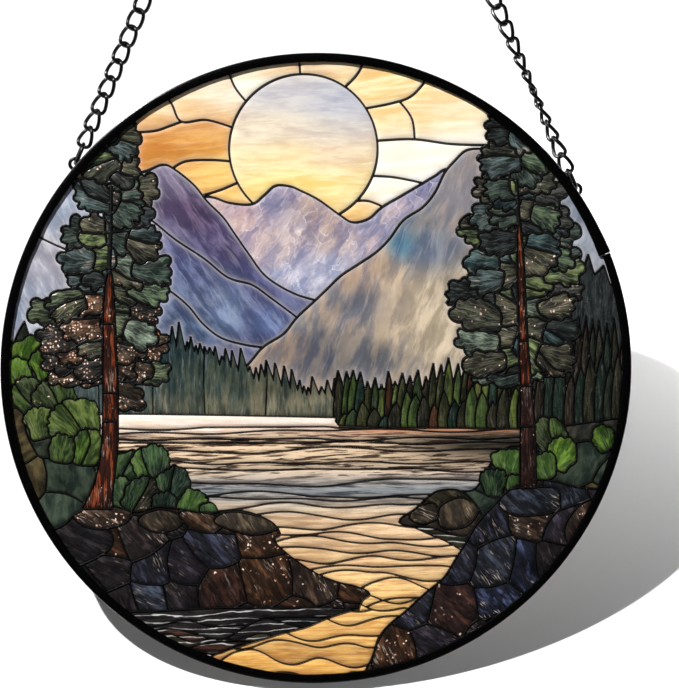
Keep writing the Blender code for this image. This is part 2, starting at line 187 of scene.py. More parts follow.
def distance_to(points, loops):
    """How far each point is from the nearest edge of the loops."""
    nearest = np.full(len(points), np.inf)
    for loop in loops:
        start = np.array(loop)
        run = np.roll(start, -1, axis=0) - start
        length = np.maximum((run**2).sum(axis=1), 1e-12)
        away = points[:, None] - start
        share = np.clip((away * run).sum(axis=2) / length, 0, 1)
        gap = away - share[..., None] * run
        nearest = np.minimum(nearest, np.sqrt((gap**2).sum(axis=2)).min(axis=1))
    return nearest


# Lines of the picture


def smooth(points, closed=False, step=STEP):
    """A curve through the points, with a point every step or so."""
    points = [Vector(point) for point in points]
    count = len(points)
    curve = []
    for i in range(count if closed else count - 1):
        if closed:
            a, b, c, d = (points[(i + k) % count] for k in (-1, 0, 1, 2))
        else:
            a, b, c, d = points[max(i - 1, 0)], points[i], points[i + 1], points[min(i + 2, count - 1)]
        parts = max(1, round((c - b).length / step))
        for part in range(parts):
            t = part / parts
            curve.append(0.5 * (2 * b + (c - a) * t + (2 * a - 5 * b + 4 * c - d) * t**2
                                + (3 * b - a - 3 * c + d) * t**3))
    if not closed:
        curve.append(points[-1])
    return [tuple(point) for point in curve]


def circle(centre, radius, steps):
    angles = [2 * math.pi * i / steps for i in range(steps)]
    return [(centre[0] + radius * math.cos(a), centre[1] + radius * math.sin(a)) for a in angles]


def below(line):
    """All that lies under a line drawn from left to right."""
    return [(line[0][0], -BEYOND), (line[-1][0], -BEYOND), *reversed(line)]


class Picture:
    """Areas from back to front, and the cuts that divide them into panes."""

    def __init__(self, seed):
        self.areas, self.cuts = [], []
        self.rng = random.Random(seed)

    def area(self, name, outline, within=None, root=None):
        """Adds an area within a kind or a numbered area, its strokes drawn from a root; gives its number."""
        self.areas.append((name, outline, within, root))
        return len(self.areas) - 1

    def cut(self, owner, line):
        self.cuts.append((owner, line))


# Lobes of leaves: how far and how fast their size drifts along the edge, how round they are and their middle
LOBE_DRIFT = 0.5
LOBE_PACE = 0.9
LOBE_POWER = 0.6
LOBE_MIDDLE = 0.6
LOBE_STEP = 0.75
ANY_PHASE = 6.3


def lobed(loop, size, depth, rng, root=None, reach=1.0):
    """The outline with round lobes and sharp notches, that grow with the distance from a root."""
    curve = [Vector(point) for point in smooth(loop, closed=True, step=LOBE_STEP)]
    outward = math.copysign(1, area([tuple(point) for point in curve]))
    phase, uneven = rng.uniform(0, ANY_PHASE), rng.uniform(0, ANY_PHASE)
    gone = 0
    found = []
    for i, point in enumerate(curve):
        along = curve[(i + 1) % len(curve)] - curve[i - 1]
        gone += (point - curve[i - 1]).length if i else 0
        drift = LOBE_DRIFT * size * math.sin(LOBE_PACE * gone / size + uneven)
        beat = abs(math.sin(math.pi * (gone + drift) / size + phase))
        grown = min(1, (point - root).length / reach) ** 2 if root else 1
        out = along.normalized().orthogonal() * outward
        found.append(tuple(point - out * depth * grown * (beat**LOBE_POWER - LOBE_MIDDLE)))
    return found


def heading(angle):
    return Vector((math.cos(angle), math.sin(angle)))


def fan(art, name, base, centre, towards, reach, root):
    """Splits an area in two by a curved line that leaves a point."""
    shake = art.rng.uniform
    angle, bend = towards + shake(-0.2, 0.2), shake(-0.3, 0.3)
    steps = ((angle, 0), (angle + bend, 0.4), (angle + bend / 2, 0.8), (angle - bend, 1.6))
    loop = smooth([tuple(centre + heading(a) * r * reach) for a, r in steps], step=1.2)
    side = centre + heading(angle + 1.2) * 2.5 * reach
    back = heading(towards) * 0.6 * reach
    art.area(name, loop + [tuple(side), tuple(side - back), tuple(centre - back)], base, root)


# The outline of a mass of leaves: shares of its length and breadth, from its root round its end
CLUMP = (
    (0, -0.3), (0.28, -0.46), (0.62, -0.54), (0.9, -0.36), (1, 0), (0.9, 0.36), (0.6, 0.52), (0.25, 0.42),
    (0, 0.3),
)


def clump(art, name, root, towards, length, breadth, lobe, depth, halved):
    """A mass of leaves that widens from its root to a lobed end, as one pane or two."""
    shake = art.rng.uniform
    aim = heading(towards)
    loop = []
    for along, up in CLUMP:
        point = root + aim * length * (along + shake(-0.07, 0.07))
        loop.append(tuple(point + aim.orthogonal() * breadth * (up + shake(-0.08, 0.08))))
    source = tuple(root - aim * 0.4 * length)
    base = art.area(name, lobed(loop, lobe, depth, art.rng, root, 0.9 * length), None, source)
    if halved:
        fan(art, name, base, root, towards, length, source)


# A stone's number of corners, and the range of their reach
STONE_CORNERS = (6, 8)
STONE_REACH = (0.88, 1.08)


def boulder(centre, half_length, half_width, tilt, rng):
    """A stone: a many-sided round form."""
    corners = rng.randint(*STONE_CORNERS)
    loop = []
    for i in range(corners):
        angle = 2 * math.pi * (i + rng.uniform(-0.25, 0.25)) / corners
        reach = rng.uniform(*STONE_REACH)
        point = Vector((half_length * reach * math.cos(angle), half_width * reach * math.sin(angle)))
        point.rotate(Matrix.Rotation(tilt, 2))
        loop.append((centre[0] + point.x, centre[1] + point.y))
    return smooth(loop, closed=True)


# A narrow tree: shares of its half width and height, from its foot up
SPEAR = ((0.9, 0), (1.05, 0.35), (0.7, 0.72))


def spear(foot, width, height, lean=0.0):
    """A narrow upright tree that tapers to a point."""
    x, y = foot
    half = width / 2
    right = [(x + half * across, y + up * height) for across, up in SPEAR]
    left = [(x - half * across, y + up * height) for across, up in reversed(SPEAR)]
    tip = (x + lean, y + height)
    return smooth([*right, tip]) + smooth([tip, *left])[1:]


# Water lines: how high the waves stand, in gaps between two lines, at each depth below the disc's centre;
# where the lines run, how much one line differs from the next, and the range of the gaps
WAVES = ((20, 46, 60), (0.8, 1.2, 1.6))
WATER_SPAN = (-74, 76, 1.3)
WAVE_CHANGE = 1.9
LINE_GAPS = (0.45, 1.5)


def water_lines(art, owner, low, high, rows, widths):
    """Lines across water that part and meet, so that the panes between them are long leaves."""
    places = np.arange(*WATER_SPAN)
    level, last, row = float(low), np.full(len(places), float(low)), 0
    while level > high:
        gap, stretch = np.interp(-level, *rows), np.interp(-level, *widths)
        swell = np.array([noise.noise(Vector((x / stretch, WAVE_CHANGE * row, low))) for x in places])
        last = np.minimum(last, level + np.interp(-level, *WAVES) * gap * swell)
        art.cut(owner, list(zip(places.tolist(), last.tolist())))
        level -= gap * art.rng.uniform(*LINE_GAPS)
        row += 1


# Cells: how far a seed moves from its place, in spacings, and the shortest border that becomes a cut
SEED_SHAKE = 0.36
SHORTEST_CUT = 0.3


def cells(art, owner, low, high, spacing, squash=1.0, bend=0.12, tilt=0.0):
    """Cuts along the borders of uneven cells, on a shaken and turned grid of seeds between two corners."""
    shake = art.rng.uniform
    middle = Vector(((low[0] + high[0]) / 2, (low[1] + high[1]) / 2))
    seeds = []
    for row, y in enumerate(np.arange(low[1], high[1], spacing * squash)):
        for x in np.arange(low[0] + spacing / 2 * (row % 2), high[0], spacing):
            moved = Vector((shake(-SEED_SHAKE, SEED_SHAKE), shake(-SEED_SHAKE, SEED_SHAKE) * squash))
            seed = Vector((x, y)) + moved * spacing - middle
            seed.rotate(Matrix.Rotation(tilt, 2))
            seeds.append(middle + seed)
    corners, faces, _, _ = triangles(seeds, [])
    middles = []
    for a, b, c in (corners[list(face)] for face in faces):
        d = 2 * (a[0] * (b[1] - c[1]) + b[0] * (c[1] - a[1]) + c[0] * (a[1] - b[1]))
        squares = [point @ point for point in (a, b, c)]
        x = (squares[0] * (b[1] - c[1]) + squares[1] * (c[1] - a[1]) + squares[2] * (a[1] - b[1])) / d
        y = (squares[0] * (c[0] - b[0]) + squares[1] * (a[0] - c[0]) + squares[2] * (b[0] - a[0])) / d
        middles.append(Vector((x, y)))
    edges = half_edges(faces)
    for (a, b), (face, _) in edges.items():
        other = edges.get((b, a))
        if a < b and other:
            start, end = middles[face], middles[other[0]]
            run = end - start
            if SHORTEST_CUT < run.length < 3 * spacing:
                crown = (start + end) / 2 + run.orthogonal() * shake(-bend, bend)
                art.cut(owner, smooth([tuple(start), tuple(crown), tuple(end)]))


# The picture


def sky(art):
    art.area("sky", [(-BEYOND, -BEYOND), (BEYOND, -BEYOND), (BEYOND, BEYOND), (-BEYOND, BEYOND)])
    for line in (
        [(-29, 97), (-26, 89), (-20, 82)],
        [(-50, 89), (-46, 84), (-43, 78.5), (-35, 79), (-25, 76)],
        [(-62, 75), (-52, 75.5), (-47, 77), (-43, 78.5)],
        [(-47, 63), (-42, 66), (-34, 66.5), (-27, 66)],
        [(-38, 55), (-31, 57), (-24, 60)],
        [(-6, 99), (-5.5, 92)],
        [(15, 98), (12, 93), (8, 89)],
        [(36, 94), (30, 87), (24, 84.5), (14, 82.5)],
        [(24.2, 86.5), (29.6, 79.5), (30.6, 71)],
        [(18, 72.5), (30, 73), (42, 71.5), (54, 71.2), (68, 71.5)],
        [(16, 61.5), (24, 61), (34, 59)],
        [(11, 53.5), (16, 53.5), (22, 51)],
    ):
        art.cut("sky", smooth(line))
    art.area("sun", circle((-4.6, 70), 23.4, 150))


def mountains(art):
    far_peak = [
        (-62, 44), (-50, 52), (-36, 55), (-28, 53), (-21, 52.6), (-17, 55.5), (-13.5, 58.4), (-9, 58.2),
        (-6, 57), (0, 54), (7, 49), (11, 46.8), (16, 48), (20, 51.5), (26, 55), (32, 58.5), (37, 61.5),
        (42, 64), (60, 66),
    ]
    left_ridge = [
        (-110, 40), (-96, 52), (-84, 58), (-70, 61.5), (-56, 62.6), (-49, 65), (-45, 63.4), (-39, 58.5),
        (-35, 53.5), (-30, 48.5), (-26.5, 43.5), (-22, 37), (-16.5, 29.8), (-8, 24.5), (0, 22),
    ]
    left_spur = [
        (-60, 52), (-53, 48), (-45, 41.5), (-36, 35.5), (-28.5, 29.5), (-21, 27.2), (-15, 23), (-7, 17),
        (-2, 13),
    ]
    left_foot = [
        (-56, 31), (-47, 25.5), (-41, 20.5), (-36.5, 15), (-31, 10.6), (-24, 8.4), (-17.5, 7.4),
        (-12, 7),
    ]
    right_ridge = [
        (-38, -8), (-24, 0.6), (-17.6, 7.4), (-11, 11.7), (-6.7, 16.9), (-1.2, 22), (3, 26), (7.2, 30),
        (13, 33.8), (18.2, 37.3), (22.4, 41.4), (27, 47.5), (33, 51.5), (37, 56.3), (40, 62.4), (43, 66),
        (46.7, 69.4), (51.5, 70), (58, 69), (68, 67), (80, 62), (92, 54), (110, 44),
    ]
    art.area("far_peak", below(smooth(far_peak)))
    art.area("left_mountain", below(smooth(left_ridge)))
    for line in (left_spur, left_foot, [(-98, 47), (-90, 43.5), (-80, 38.8), (-70, 36)]):
        art.cut("left_mountain", smooth(line))
    art.area("right_mountain", below(smooth(right_ridge)))


# The crowns of the far forest at each x, and the near forest's rows of trees: (least and most height, gap)
CROWNS = ((-44, -20, -2, 7), (11, 1, -5, -6))
TREE_ROWS = ((14, 20, 2.6), (5, 13, 3.3))


def forest(art):
    shake = art.rng.uniform
    tops = [(-110, 4), (-96, 8)]
    x = -94.0
    while x < 7:
        crown = float(np.interp(x, *CROWNS))
        rise = shake(0, 1) ** 2 * 6
        tops += [(x, crown - shake(1.5, 4.0)), (x + shake(0.4, 0.9), crown + rise - 1)]
        x += shake(1.0, 1.8) + 0.25 * rise
    art.area("far_forest", below(tops + [(7, -6), (110, -6)]))
    for x, y in tops[9::20]:
        seam = [(x, y + 1), (x + shake(-0.5, 0.5), y / 2 - 6), (x + shake(-0.7, 0.7), -17)]
        art.cut("far_forest", smooth(seam))
    ground = [(6, -13), (20, -11), (38, -8), (50, -3), (58, 4), (66, 12), (72, 22), (78, 27)]
    far_tops = [(80, 33), (82, 28), (84, 31), (86, 36.5), (88, 30), (91, 33), (93, 27), (110, 20)]
    art.area("near_forest", below(smooth(ground) + far_tops))
    for row, (low, high, gap) in enumerate(TREE_ROWS):
        x = 6.6 + 1.6 * row
        while x < 100:
            rise = 5.5 * max(0, min(1, (x - 20) / 30)) + 12 * max(0, min(1, (x - 62) / 16))
            height = shake(low, high) + rise * (1 - 0.3 * row)
            width = gap * shake(1.1, 1.45)
            art.area("near_forest", spear((x, -19.5), width, height, shake(-0.4, 0.4)))
            x += gap * shake(0.7, 1.15)


# At each depth below the disc's centre, how far apart the water's lines are and how long their waves
WATER_GAPS = ((17, 24, 36, 46, 60, 75, 98), (2.0, 2.7, 2.4, 2.3, 2.8, 3.3, 3.9))
WATER_WAVES = ((17, 36, 60, 80, 98), (30, 26, 20, 15, 12))


def lake(art):
    shore = [
        (-110, -13), (-60, -13.4), (-30, -14), (0, -14.8), (5.6, -15.2), (6.2, -17.4), (20, -18.2),
        (45, -18.6), (66, -19), (110, -19),
    ]
    art.area("lake", below(smooth(shore)))
    water_lines(art, "lake", -17.8, -98, WATER_GAPS, WATER_WAVES)


BUSH_LOBES = (2.2, 3.4)
BUSH_LOBE_DEPTH = 0.9


def bushes(art, spots):
    """Overlapping leafy clumps: (x, y, size) of each."""
    shake = art.rng.uniform
    for x, y, size in spots:
        towards = math.pi / 2 + shake(-0.7, 0.7)
        root = Vector((x, y)) - heading(towards) * size
        lobe = shake(*BUSH_LOBES)
        clump(art, "bush", root, towards, 2 * size, 1.8 * size, lobe, BUSH_LOBE_DEPTH, size > 5)


def shores(art):
    left_bank = [
        (-110, 12), (-98, 10), (-90, 5), (-84, -3), (-76, -12), (-71, -22), (-64, -26), (-58, -25),
        (-52, -27), (-46, -34), (-42, -39), (-37, -42), (-33, -46),
    ]
    art.area("bank", below(smooth(left_bank)))
    cells(art, "bank", (-104, -60), (-30, 14), 14)
    art.area("bank", spear((-93, -4), 6.4, 20, 0.6))
    bushes(art, (
        (-92, 6, 5), (-95, -1, 5), (-86, 2, 5), (-91, -8, 6), (-83, -8, 7), (-88, -16, 5), (-77, -16, 8),
        (-73, -24, 5.5), (-81, -24, 4.5),
    ))
    bushes(art, (
        (-60, -30, 5.5), (-63, -38, 5), (-53, -30, 7), (-56, -39, 6), (-46, -36, 6), (-49, -43, 4.5),
        (-40, -42, 5), (-35, -45, 3),
    ))
    right_bank = [
        (60, -90), (58, -62), (50, -48), (43, -43), (44, -39), (50, -38), (55, -30), (60, -25),
        (66, -24), (72, -20), (80, -18), (110, -14),
    ]
    art.area("bank", below(smooth(right_bank)))
    cells(art, "bank", (30, -60), (104, -10), 13)
    bushes(art, (
        (60, -30, 5), (56, -36, 4.5), (63, -37, 4), (74, -21, 5.5), (78, -27, 5), (72, -31, 4.5),
        (91, -22, 4),
    ))


def stones(art, spots):
    """Boulders on the rocks: (x, y, half length, half width, tilt) of each."""
    for x, y, half_length, half_width, tilt in spots:
        art.area("rock", boulder((x, y), half_length, half_width, tilt, art.rng), "rock")


def rocks(art):
    left_rocks = [
        (-110, -56), (-84, -50), (-76, -44.5), (-68, -42), (-58, -44.5), (-50, -43), (-36, -45),
        (-24, -44.5), (-15, -48), (-12, -52), (-14, -54), (-9, -59), (-1, -64.5), (6, -67.5), (12, -69),
        (16.5, -71.5), (13, -76), (12, -95),
    ]
    cells(art, art.area("rock", below(smooth(left_rocks))), (-130, -130), (56, -10), 18.5, 0.5, 0.1, -0.62)
    stones(art, (
        (-78, -55, 14, 8, 0.3), (-68, -45.5, 9.5, 5, 0.1), (-50, -47.5, 7.5, 3.6, 0.0),
        (-37, -47.5, 8.5, 3.6, -0.2), (-23, -48.5, 10.5, 3.6, -0.15),
    ))
    art.area("shallows", below(smooth([(-110, -77), (-58, -76.5), (-28, -75.5), (14, -76)])), "rock")
    water_lines(art, "shallows", -78.6, -98, ((70, 98), (2.6, 3.4)), ((70, 98), (12, 12)))
    front_water = [
        (-46, -110), (-36, -93), (-30, -89.5), (-22, -87), (-12, -84), (-4, -82), (2, -79.5), (8, -77.5),
        (14, -76), (24, -73), (44, -73),
    ]
    art.area("lake", below(smooth(front_water)))

    headland = [
        (26, -47.6), (31, -44.2), (35, -40.5), (39, -38.4), (46, -39), (52, -46), (52, -53), (44, -53),
        (36, -50.5), (27, -49.5),
    ]
    wet = [(28, -48.5), (38, -49.5), (50, -49), (54, -57), (47, -58), (40, -54.5), (33, -51.5)]
    art.area("shallows", smooth(wet, closed=True))
    art.area("rock", smooth(headland, closed=True))
    right_rocks = [
        (12, -102), (17, -92), (19, -86), (22.5, -81.5), (28, -77), (34, -71.5), (40, -66.5),
        (43.5, -61), (47, -55.5), (51, -49), (56, -43.5), (61, -38.5), (68, -35.5), (76, -36), (84, -38),
        (110, -40),
    ]
    cells(art, art.area("rock", below(smooth(right_rocks))), (-26, -130), (130, 0), 18, 0.52, 0.1, 0.74)
    stones(art, (
        (88, -50, 10, 8, 0.9), (68, -42, 10.5, 5.2, 0.05), (44, -46, 7, 5, 0.1), (34, -46, 5, 3.4, 0.3),
    ))


PINE_LOBES = (3.6, 5.6)
PINE_LOBE_DEPTH = 2.1


def bough(art, joint, side, reach, depth):
    """One bough: a mass that leaves the stem and, on a long one, one or two more towards its end."""
    shake = art.rng.uniform
    towards = math.atan2(-shake(-0.15, 0.3), side)
    aim = heading(towards)
    masses = [(-1.5, 0.64 * reach + 1.5, 0, 1.08 * depth)]
    if reach < 13:
        masses = [(-1.5, reach + 1.5, 0, depth)]
    elif depth > 10.5:
        masses += [(0.4 * reach, 0.6 * reach, 0.24 * depth, 0.6 * depth),
                   (0.3 * reach, 0.62 * reach, -0.28 * depth, 0.58 * depth)]
    else:
        masses.append((0.36 * reach, 0.65 * reach, shake(-0.12, 0.12) * depth, 0.95 * depth))
    if shake(0, 1) < 0.55:
        masses.reverse()
    for start, length, up, breadth in masses:
        root = joint + aim * start + Vector((0, up))
        turned = towards + shake(-0.32, 0.3)
        clump(art, "pine_bough", root, turned, length, 1.12 * breadth, shake(*PINE_LOBES), PINE_LOBE_DEPTH,
              breadth > 8.5 and length > 8)


def pine(art, trunk, stem, boughs, bands):
    """A pine: its boughs, a stem and a trunk in front of them, and bands across the trunk."""
    shake = art.rng.uniform
    rungs = sorted((y, x) for x, y, _ in trunk + stem)
    ys, xs = [y for y, _ in rungs], [x for _, x in rungs]
    for side, height, reach, depth in sorted(boughs, key=lambda each: each[1] + shake(-3, 3)):
        bough(art, Vector((np.interp(height, ys, xs), height)), side, reach, depth)
    for part in (stem, trunk):
        right = [(x + width / 2, y) for x, y, width in part]
        left = [(x - width / 2, y) for x, y, width in part]
        art.area("pine_trunk", smooth(right) + smooth(left[::-1]))
    for height in bands:
        x = np.interp(height, ys, xs)
        art.cut("pine_trunk", [(x - 6, height + shake(-0.6, 0.6)), (x + 6, height)])


# The pines: trunk and stem as (x, y, width), boughs as (side, height, reach, depth), heights of bands
LEFT_PINE = (
    [
        (-70, -43.5, 10), (-68.6, -38, 7), (-67, -31, 5.6), (-65.8, -20, 5.1), (-65.8, 0, 4.6),
        (-66, 20, 3.4), (-65.9, 28, 2.4), (-65.7, 31, 1),
    ],
    [(-65.9, 30, 0.7), (-65.3, 44, 0.6), (-65, 58, 0.3)],
    (
        (-1, 76, 9, 10), (-1, 67, 10, 11), (-1, 52.5, 12.5, 9), (-1, 43.5, 14.5, 8.5),
        (-1, 35.5, 15.5, 7.5), (-1, 29.5, 13.5, 6), (-1, 24, 20, 9), (-1, 17.5, 25, 12.5),
        (-1, 10.5, 17.5, 11.5), (-1, 4, 21, 11), (-1, -0.5, 12, 9), (1, 74, 9, 10), (1, 65, 8.5, 9),
        (1, 54, 14.5, 13), (1, 43.5, 15.5, 9.5), (1, 34, 19.5, 8.5), (1, 27.5, 18.5, 7),
        (1, 19, 17, 12.5), (1, 10.5, 18.5, 9.5), (1, 4, 14, 6), (1, 0, 19, 6), (1, -5.5, 11, 7.5),
    ),
    (15.3, -6.9, -15.5),
)
RIGHT_PINE = (
    [(67, -38, 5.4), (66.8, -20, 4.8), (66.2, -6, 3.8), (65.3, 9, 2.9), (64.2, 36, 2), (63.8, 46, 0.9)],
    [(63.9, 45, 0.6), (62.9, 60, 0.3)],
    (
        (-1, 76, 9, 10), (-1, 67.5, 12, 9), (-1, 60, 10.5, 12), (-1, 56.5, 13.5, 8.5), (-1, 50, 15, 8),
        (-1, 43, 19.5, 9), (-1, 33, 18, 12), (-1, 19, 24, 14), (-1, 7.5, 21.5, 12), (-1, 0, 18.5, 9),
        (1, 76, 8, 9), (1, 67, 10, 10), (1, 60, 12, 10), (1, 54.5, 15, 12), (1, 48.5, 17, 9),
        (1, 40, 19, 12), (1, 31, 20, 10), (1, 22, 19, 12), (1, 11, 18, 15), (1, 2, 14, 8),
    ),
    (9, -5, -18),
)


def pines(art):
    for tree in (LEFT_PINE, RIGHT_PINE):
        pine(art, *tree)


# Panes


def patches(corners, edges, faces, shows, names, cut_edges):
    """A number for each face, the same on all faces of one pane; small panes join a neighbour."""
    spans = corners[np.array(faces)]
    runs = spans[:, 1:] - spans[:, :1]
    sizes = abs(runs[:, 0, 0] * runs[:, 1, 1] - runs[:, 0, 1] * runs[:, 1, 0]) / 2
    patch = np.full(len(faces), -1)
    for seed in range(len(faces)):
        if shows[seed] < 0 or patch[seed] >= 0:
            continue
        patch[seed] = seed
        front = [seed]
        while front:
            face = faces[front.pop()]
            for edge in zip(face, face[1:] + face[:1]):
                other = edges.get(edge[::-1])
                if other is None or patch[other[0]] >= 0 or shows[other[0]] != shows[seed]:
                    continue
                if {shows[seed], names[shows[seed]]} & cut_edges.get(tuple(sorted(edge)), set()):
                    continue
                patch[other[0]] = seed
                front.append(other[0])
    members, shared = {}, {}
    for face, number in enumerate(patch):
        if number >= 0:
            members.setdefault(number, []).append(face)
            shared.setdefault(number, {})
    total = {number: sizes[found].sum() for number, found in members.items()}
    for (a, b), (face, _) in edges.items():
        other = edges.get((b, a))
        if other and patch[face] >= 0 and patch[other[0]] not in (-1, patch[face]):
            beside = shared[patch[face]]
            length = float(np.linalg.norm(corners[a] - corners[b]))
            beside[patch[other[0]]] = beside.get(patch[other[0]], 0) + length
    while True:
        least = min(total, key=total.get)
        if total[least] >= SMALLEST_PANE:
            break
        same = {other: length for other, length in shared[least].items()
                if names[shows[members[other][0]]] == names[shows[members[least][0]]]}
        choice = shared[least]
        if same and max(same.values()) > LEAST_SHARED_EDGE * sum(choice.values()):
            choice = same
        joined = max(choice, key=choice.get)
        shows[members[least]] = shows[members[joined][0]]
        members[joined] += members.pop(least)
        total[joined] += total.pop(least)
        for other, length in shared.pop(least).items():
            del shared[other][least]
            if other != joined:
                shared[joined][other] = shared[joined].get(other, 0) + length
                shared[other][joined] = shared[other].get(joined, 0) + length
    for number, found in members.items():
        patch[found] = number
    return patch


def panes():
    """[(kind, outlines, root)] of the panes, and the lines between them as points and edges."""
    art = Picture(PICTURE_SEED)
    for draw in (sky, mountains, forest, lake, shores, rocks, pines):
        draw(art)
    names = [name for name, *_ in art.areas]
    edge = circle((0, 0), GLASS_RADIUS, CIRCLE_STEPS)
    loops = [edge] + [outline for _, outline, *_ in art.areas]
    points, rims = sides(loops, [line for _, line in art.cuts])
    owners = [None] * sum(len(loop) for loop in loops)
    owners += [name for name, line in art.cuts for _ in line[1:]]
    corners, faces, centres, result = triangles(points, rims)
    cut_edges = {}
    for side, sources in zip(result[1], result[4]):
        found = {owners[source] for source in sources} - {None}
        if found:
            cut_edges[tuple(sorted(side))] = found
    in_glass = winding(centres, [edge]) != 0
    shows = np.where(in_glass, 0, -1)
    for index, (name, outline, within, _) in enumerate(art.areas):
        fits = in_glass & (winding(centres, [outline]) != 0)
        if isinstance(within, int):
            fits &= shows == within
        elif within:
            fits &= np.array([names[number] == within for number in shows])
        shows[fits] = index
    edges = half_edges(faces)
    patch = patches(corners, edges, faces, shows, names, cut_edges)
    found = outlines(corners, edges, list(patch))
    found.pop(-1)
    borders = [
        pair for pair, (face, _) in edges.items()
        if pair[0] < pair[1] and pair[::-1] in edges and patch[edges[pair[::-1]][0]] != patch[face]
    ]
    order = sorted(found, key=lambda number: (shows[number], number))
    listed = [(names[shows[number]], found[number], art.areas[shows[number]][3]) for number in order]
    return listed, corners, borders


# Colours of the glass


def tone(*values):
    """Screen values from 0 to 255, made linear."""
    shares = [value / 255 for value in values]
    return tuple(((share + 0.055) / 1.055) ** 2.4 if share > 0.04045 else share / 12.92 for share in shares)


# Soft washes of two tones brushed together: the ground's tones, then spots as (x, y, reach across, reach up
# and the two tones); all tones are screen values
WASHES = {
    "sky": ((252, 228, 174, 242, 196, 120), (
        (-47, 71, 16, 9, 226, 160, 78, 190, 116, 44), (-54, 84, 12, 6, 252, 236, 202, 246, 212, 158),
        (-30, 62, 13, 6, 250, 212, 126, 230, 172, 82), (-28, 89, 12, 5, 252, 246, 230, 238, 218, 190),
        (2, 97, 12, 4, 240, 214, 176, 214, 178, 140), (22, 90, 13, 5, 254, 238, 188, 240, 200, 130),
        (44, 82, 11, 6, 254, 240, 206, 246, 216, 164), (28, 78, 12, 4, 254, 234, 180, 240, 196, 122),
        (36, 68, 20, 8, 255, 254, 250, 255, 248, 232), (24, 57, 10, 5, 255, 255, 252, 252, 242, 214),
        (14, 51, 7, 3, 248, 208, 136, 228, 168, 88),
    )),
    "sun": ((246, 228, 186, 228, 202, 160), (
        (-14, 87, 12, 5, 214, 210, 208, 186, 184, 192), (8, 84, 11, 7, 192, 194, 206, 160, 166, 188),
        (-17, 76, 8, 5, 240, 226, 200, 212, 194, 176), (0, 76, 13, 4, 240, 228, 204, 214, 198, 184),
        (-12, 67, 11, 5, 250, 236, 188, 242, 210, 152), (6, 67, 8, 4, 244, 222, 192, 220, 192, 166),
        (-8, 58, 12, 5, 254, 236, 160, 248, 210, 112), (7, 58, 9, 7, 254, 240, 186, 246, 212, 138),
    )),
    "far_peak": ((187, 167, 178, 133, 129, 164), (
        (-27, 48, 8, 5, 206, 173, 164, 173, 144, 153), (-18, 39, 8, 6, 198, 175, 173, 160, 146, 162),
        (-12, 52, 6, 5, 155, 147, 167, 120, 122, 153), (-3, 51, 6, 5, 189, 164, 149, 155, 133, 136),
        (-9, 41, 6, 5, 206, 186, 177, 144, 135, 153), (4, 43, 7, 6, 187, 164, 155, 142, 129, 142),
        (-3, 30, 10, 7, 202, 200, 215, 153, 162, 189), (20, 48, 8, 6, 193, 173, 175, 142, 140, 166),
        (37, 61, 8, 6, 120, 120, 155, 84, 91, 135),
    )),
    "left_mountain": ((80, 82, 116, 123, 124, 162), (
        (-86, 50, 14, 8, 146, 156, 174, 194, 198, 206), (-84, 35, 12, 8, 162, 158, 168, 198, 194, 198),
        (-90, 20, 10, 9, 128, 138, 156, 174, 180, 190), (-48, 60, 8, 5, 104, 96, 121, 139, 127, 147),
        (-42, 50, 9, 7, 65, 50, 75, 108, 86, 112), (-31, 39, 8, 7, 63, 54, 86, 103, 90, 121),
        (-20, 29, 9, 5, 58, 58, 95, 88, 89, 130), (-50, 42, 7, 6, 77, 77, 108, 117, 116, 149),
        (-41, 33, 8, 7, 58, 63, 99, 99, 108, 145), (-32, 26, 8, 6, 79, 89, 120, 125, 135, 160),
        (-15, 18, 9, 4, 65, 71, 108, 104, 110, 144), (-50, 24, 8, 7, 64, 75, 104, 101, 116, 143),
        (-38, 13, 9, 5, 51, 68, 95, 84, 103, 130), (-22, 7, 9, 4, 57, 64, 98, 88, 94, 129),
        (-28, 20, 4, 6, 104, 122, 156, 142, 158, 186), (-16, 15.5, 4, 3, 92, 112, 156, 124, 146, 188),
    )),
    "right_mountain": ((178, 156, 134, 126, 124, 128), (
        (50, 60, 12, 9, 150, 140, 138, 132, 128, 134), (29, 47, 6, 5, 126, 124, 126, 96, 104, 118),
        (27, 40, 3.6, 5, 66, 130, 156, 50, 100, 132), (36, 37, 6, 6, 112, 124, 142, 84, 98, 122),
        (14, 31, 8, 5, 178, 152, 130, 134, 120, 120), (16, 21, 7, 5, 124, 120, 124, 80, 88, 106),
        (-12, 6, 8, 4, 156, 132, 112, 112, 104, 104), (1, 5, 9, 5, 110, 106, 106, 70, 76, 92),
        (25, 22, 8, 9, 204, 182, 154, 162, 146, 128), (39, 18, 9, 12, 216, 198, 170, 168, 152, 126),
        (17, 4, 8, 4, 138, 128, 116, 90, 92, 98), (86, 44, 9, 12, 152, 160, 172, 110, 120, 136),
    )),
    "far_forest": ((104, 100, 78, 62, 72, 66), (
        (-50, 6, 6, 6, 34, 56, 60, 20, 40, 46), (-41, 7, 7, 5, 30, 54, 56, 18, 36, 40),
        (-38, -3, 7, 5, 72, 82, 72, 40, 58, 56), (-27, 1, 8, 4, 64, 72, 62, 34, 50, 48),
        (-12, -5, 9, 4, 82, 82, 66, 44, 56, 52), (-40, -11, 10, 3, 106, 104, 84, 74, 80, 70),
        (-14, -12, 14, 3, 124, 118, 96, 88, 90, 76), (-64, -4, 10, 8, 70, 84, 84, 44, 60, 64),
    )),
}

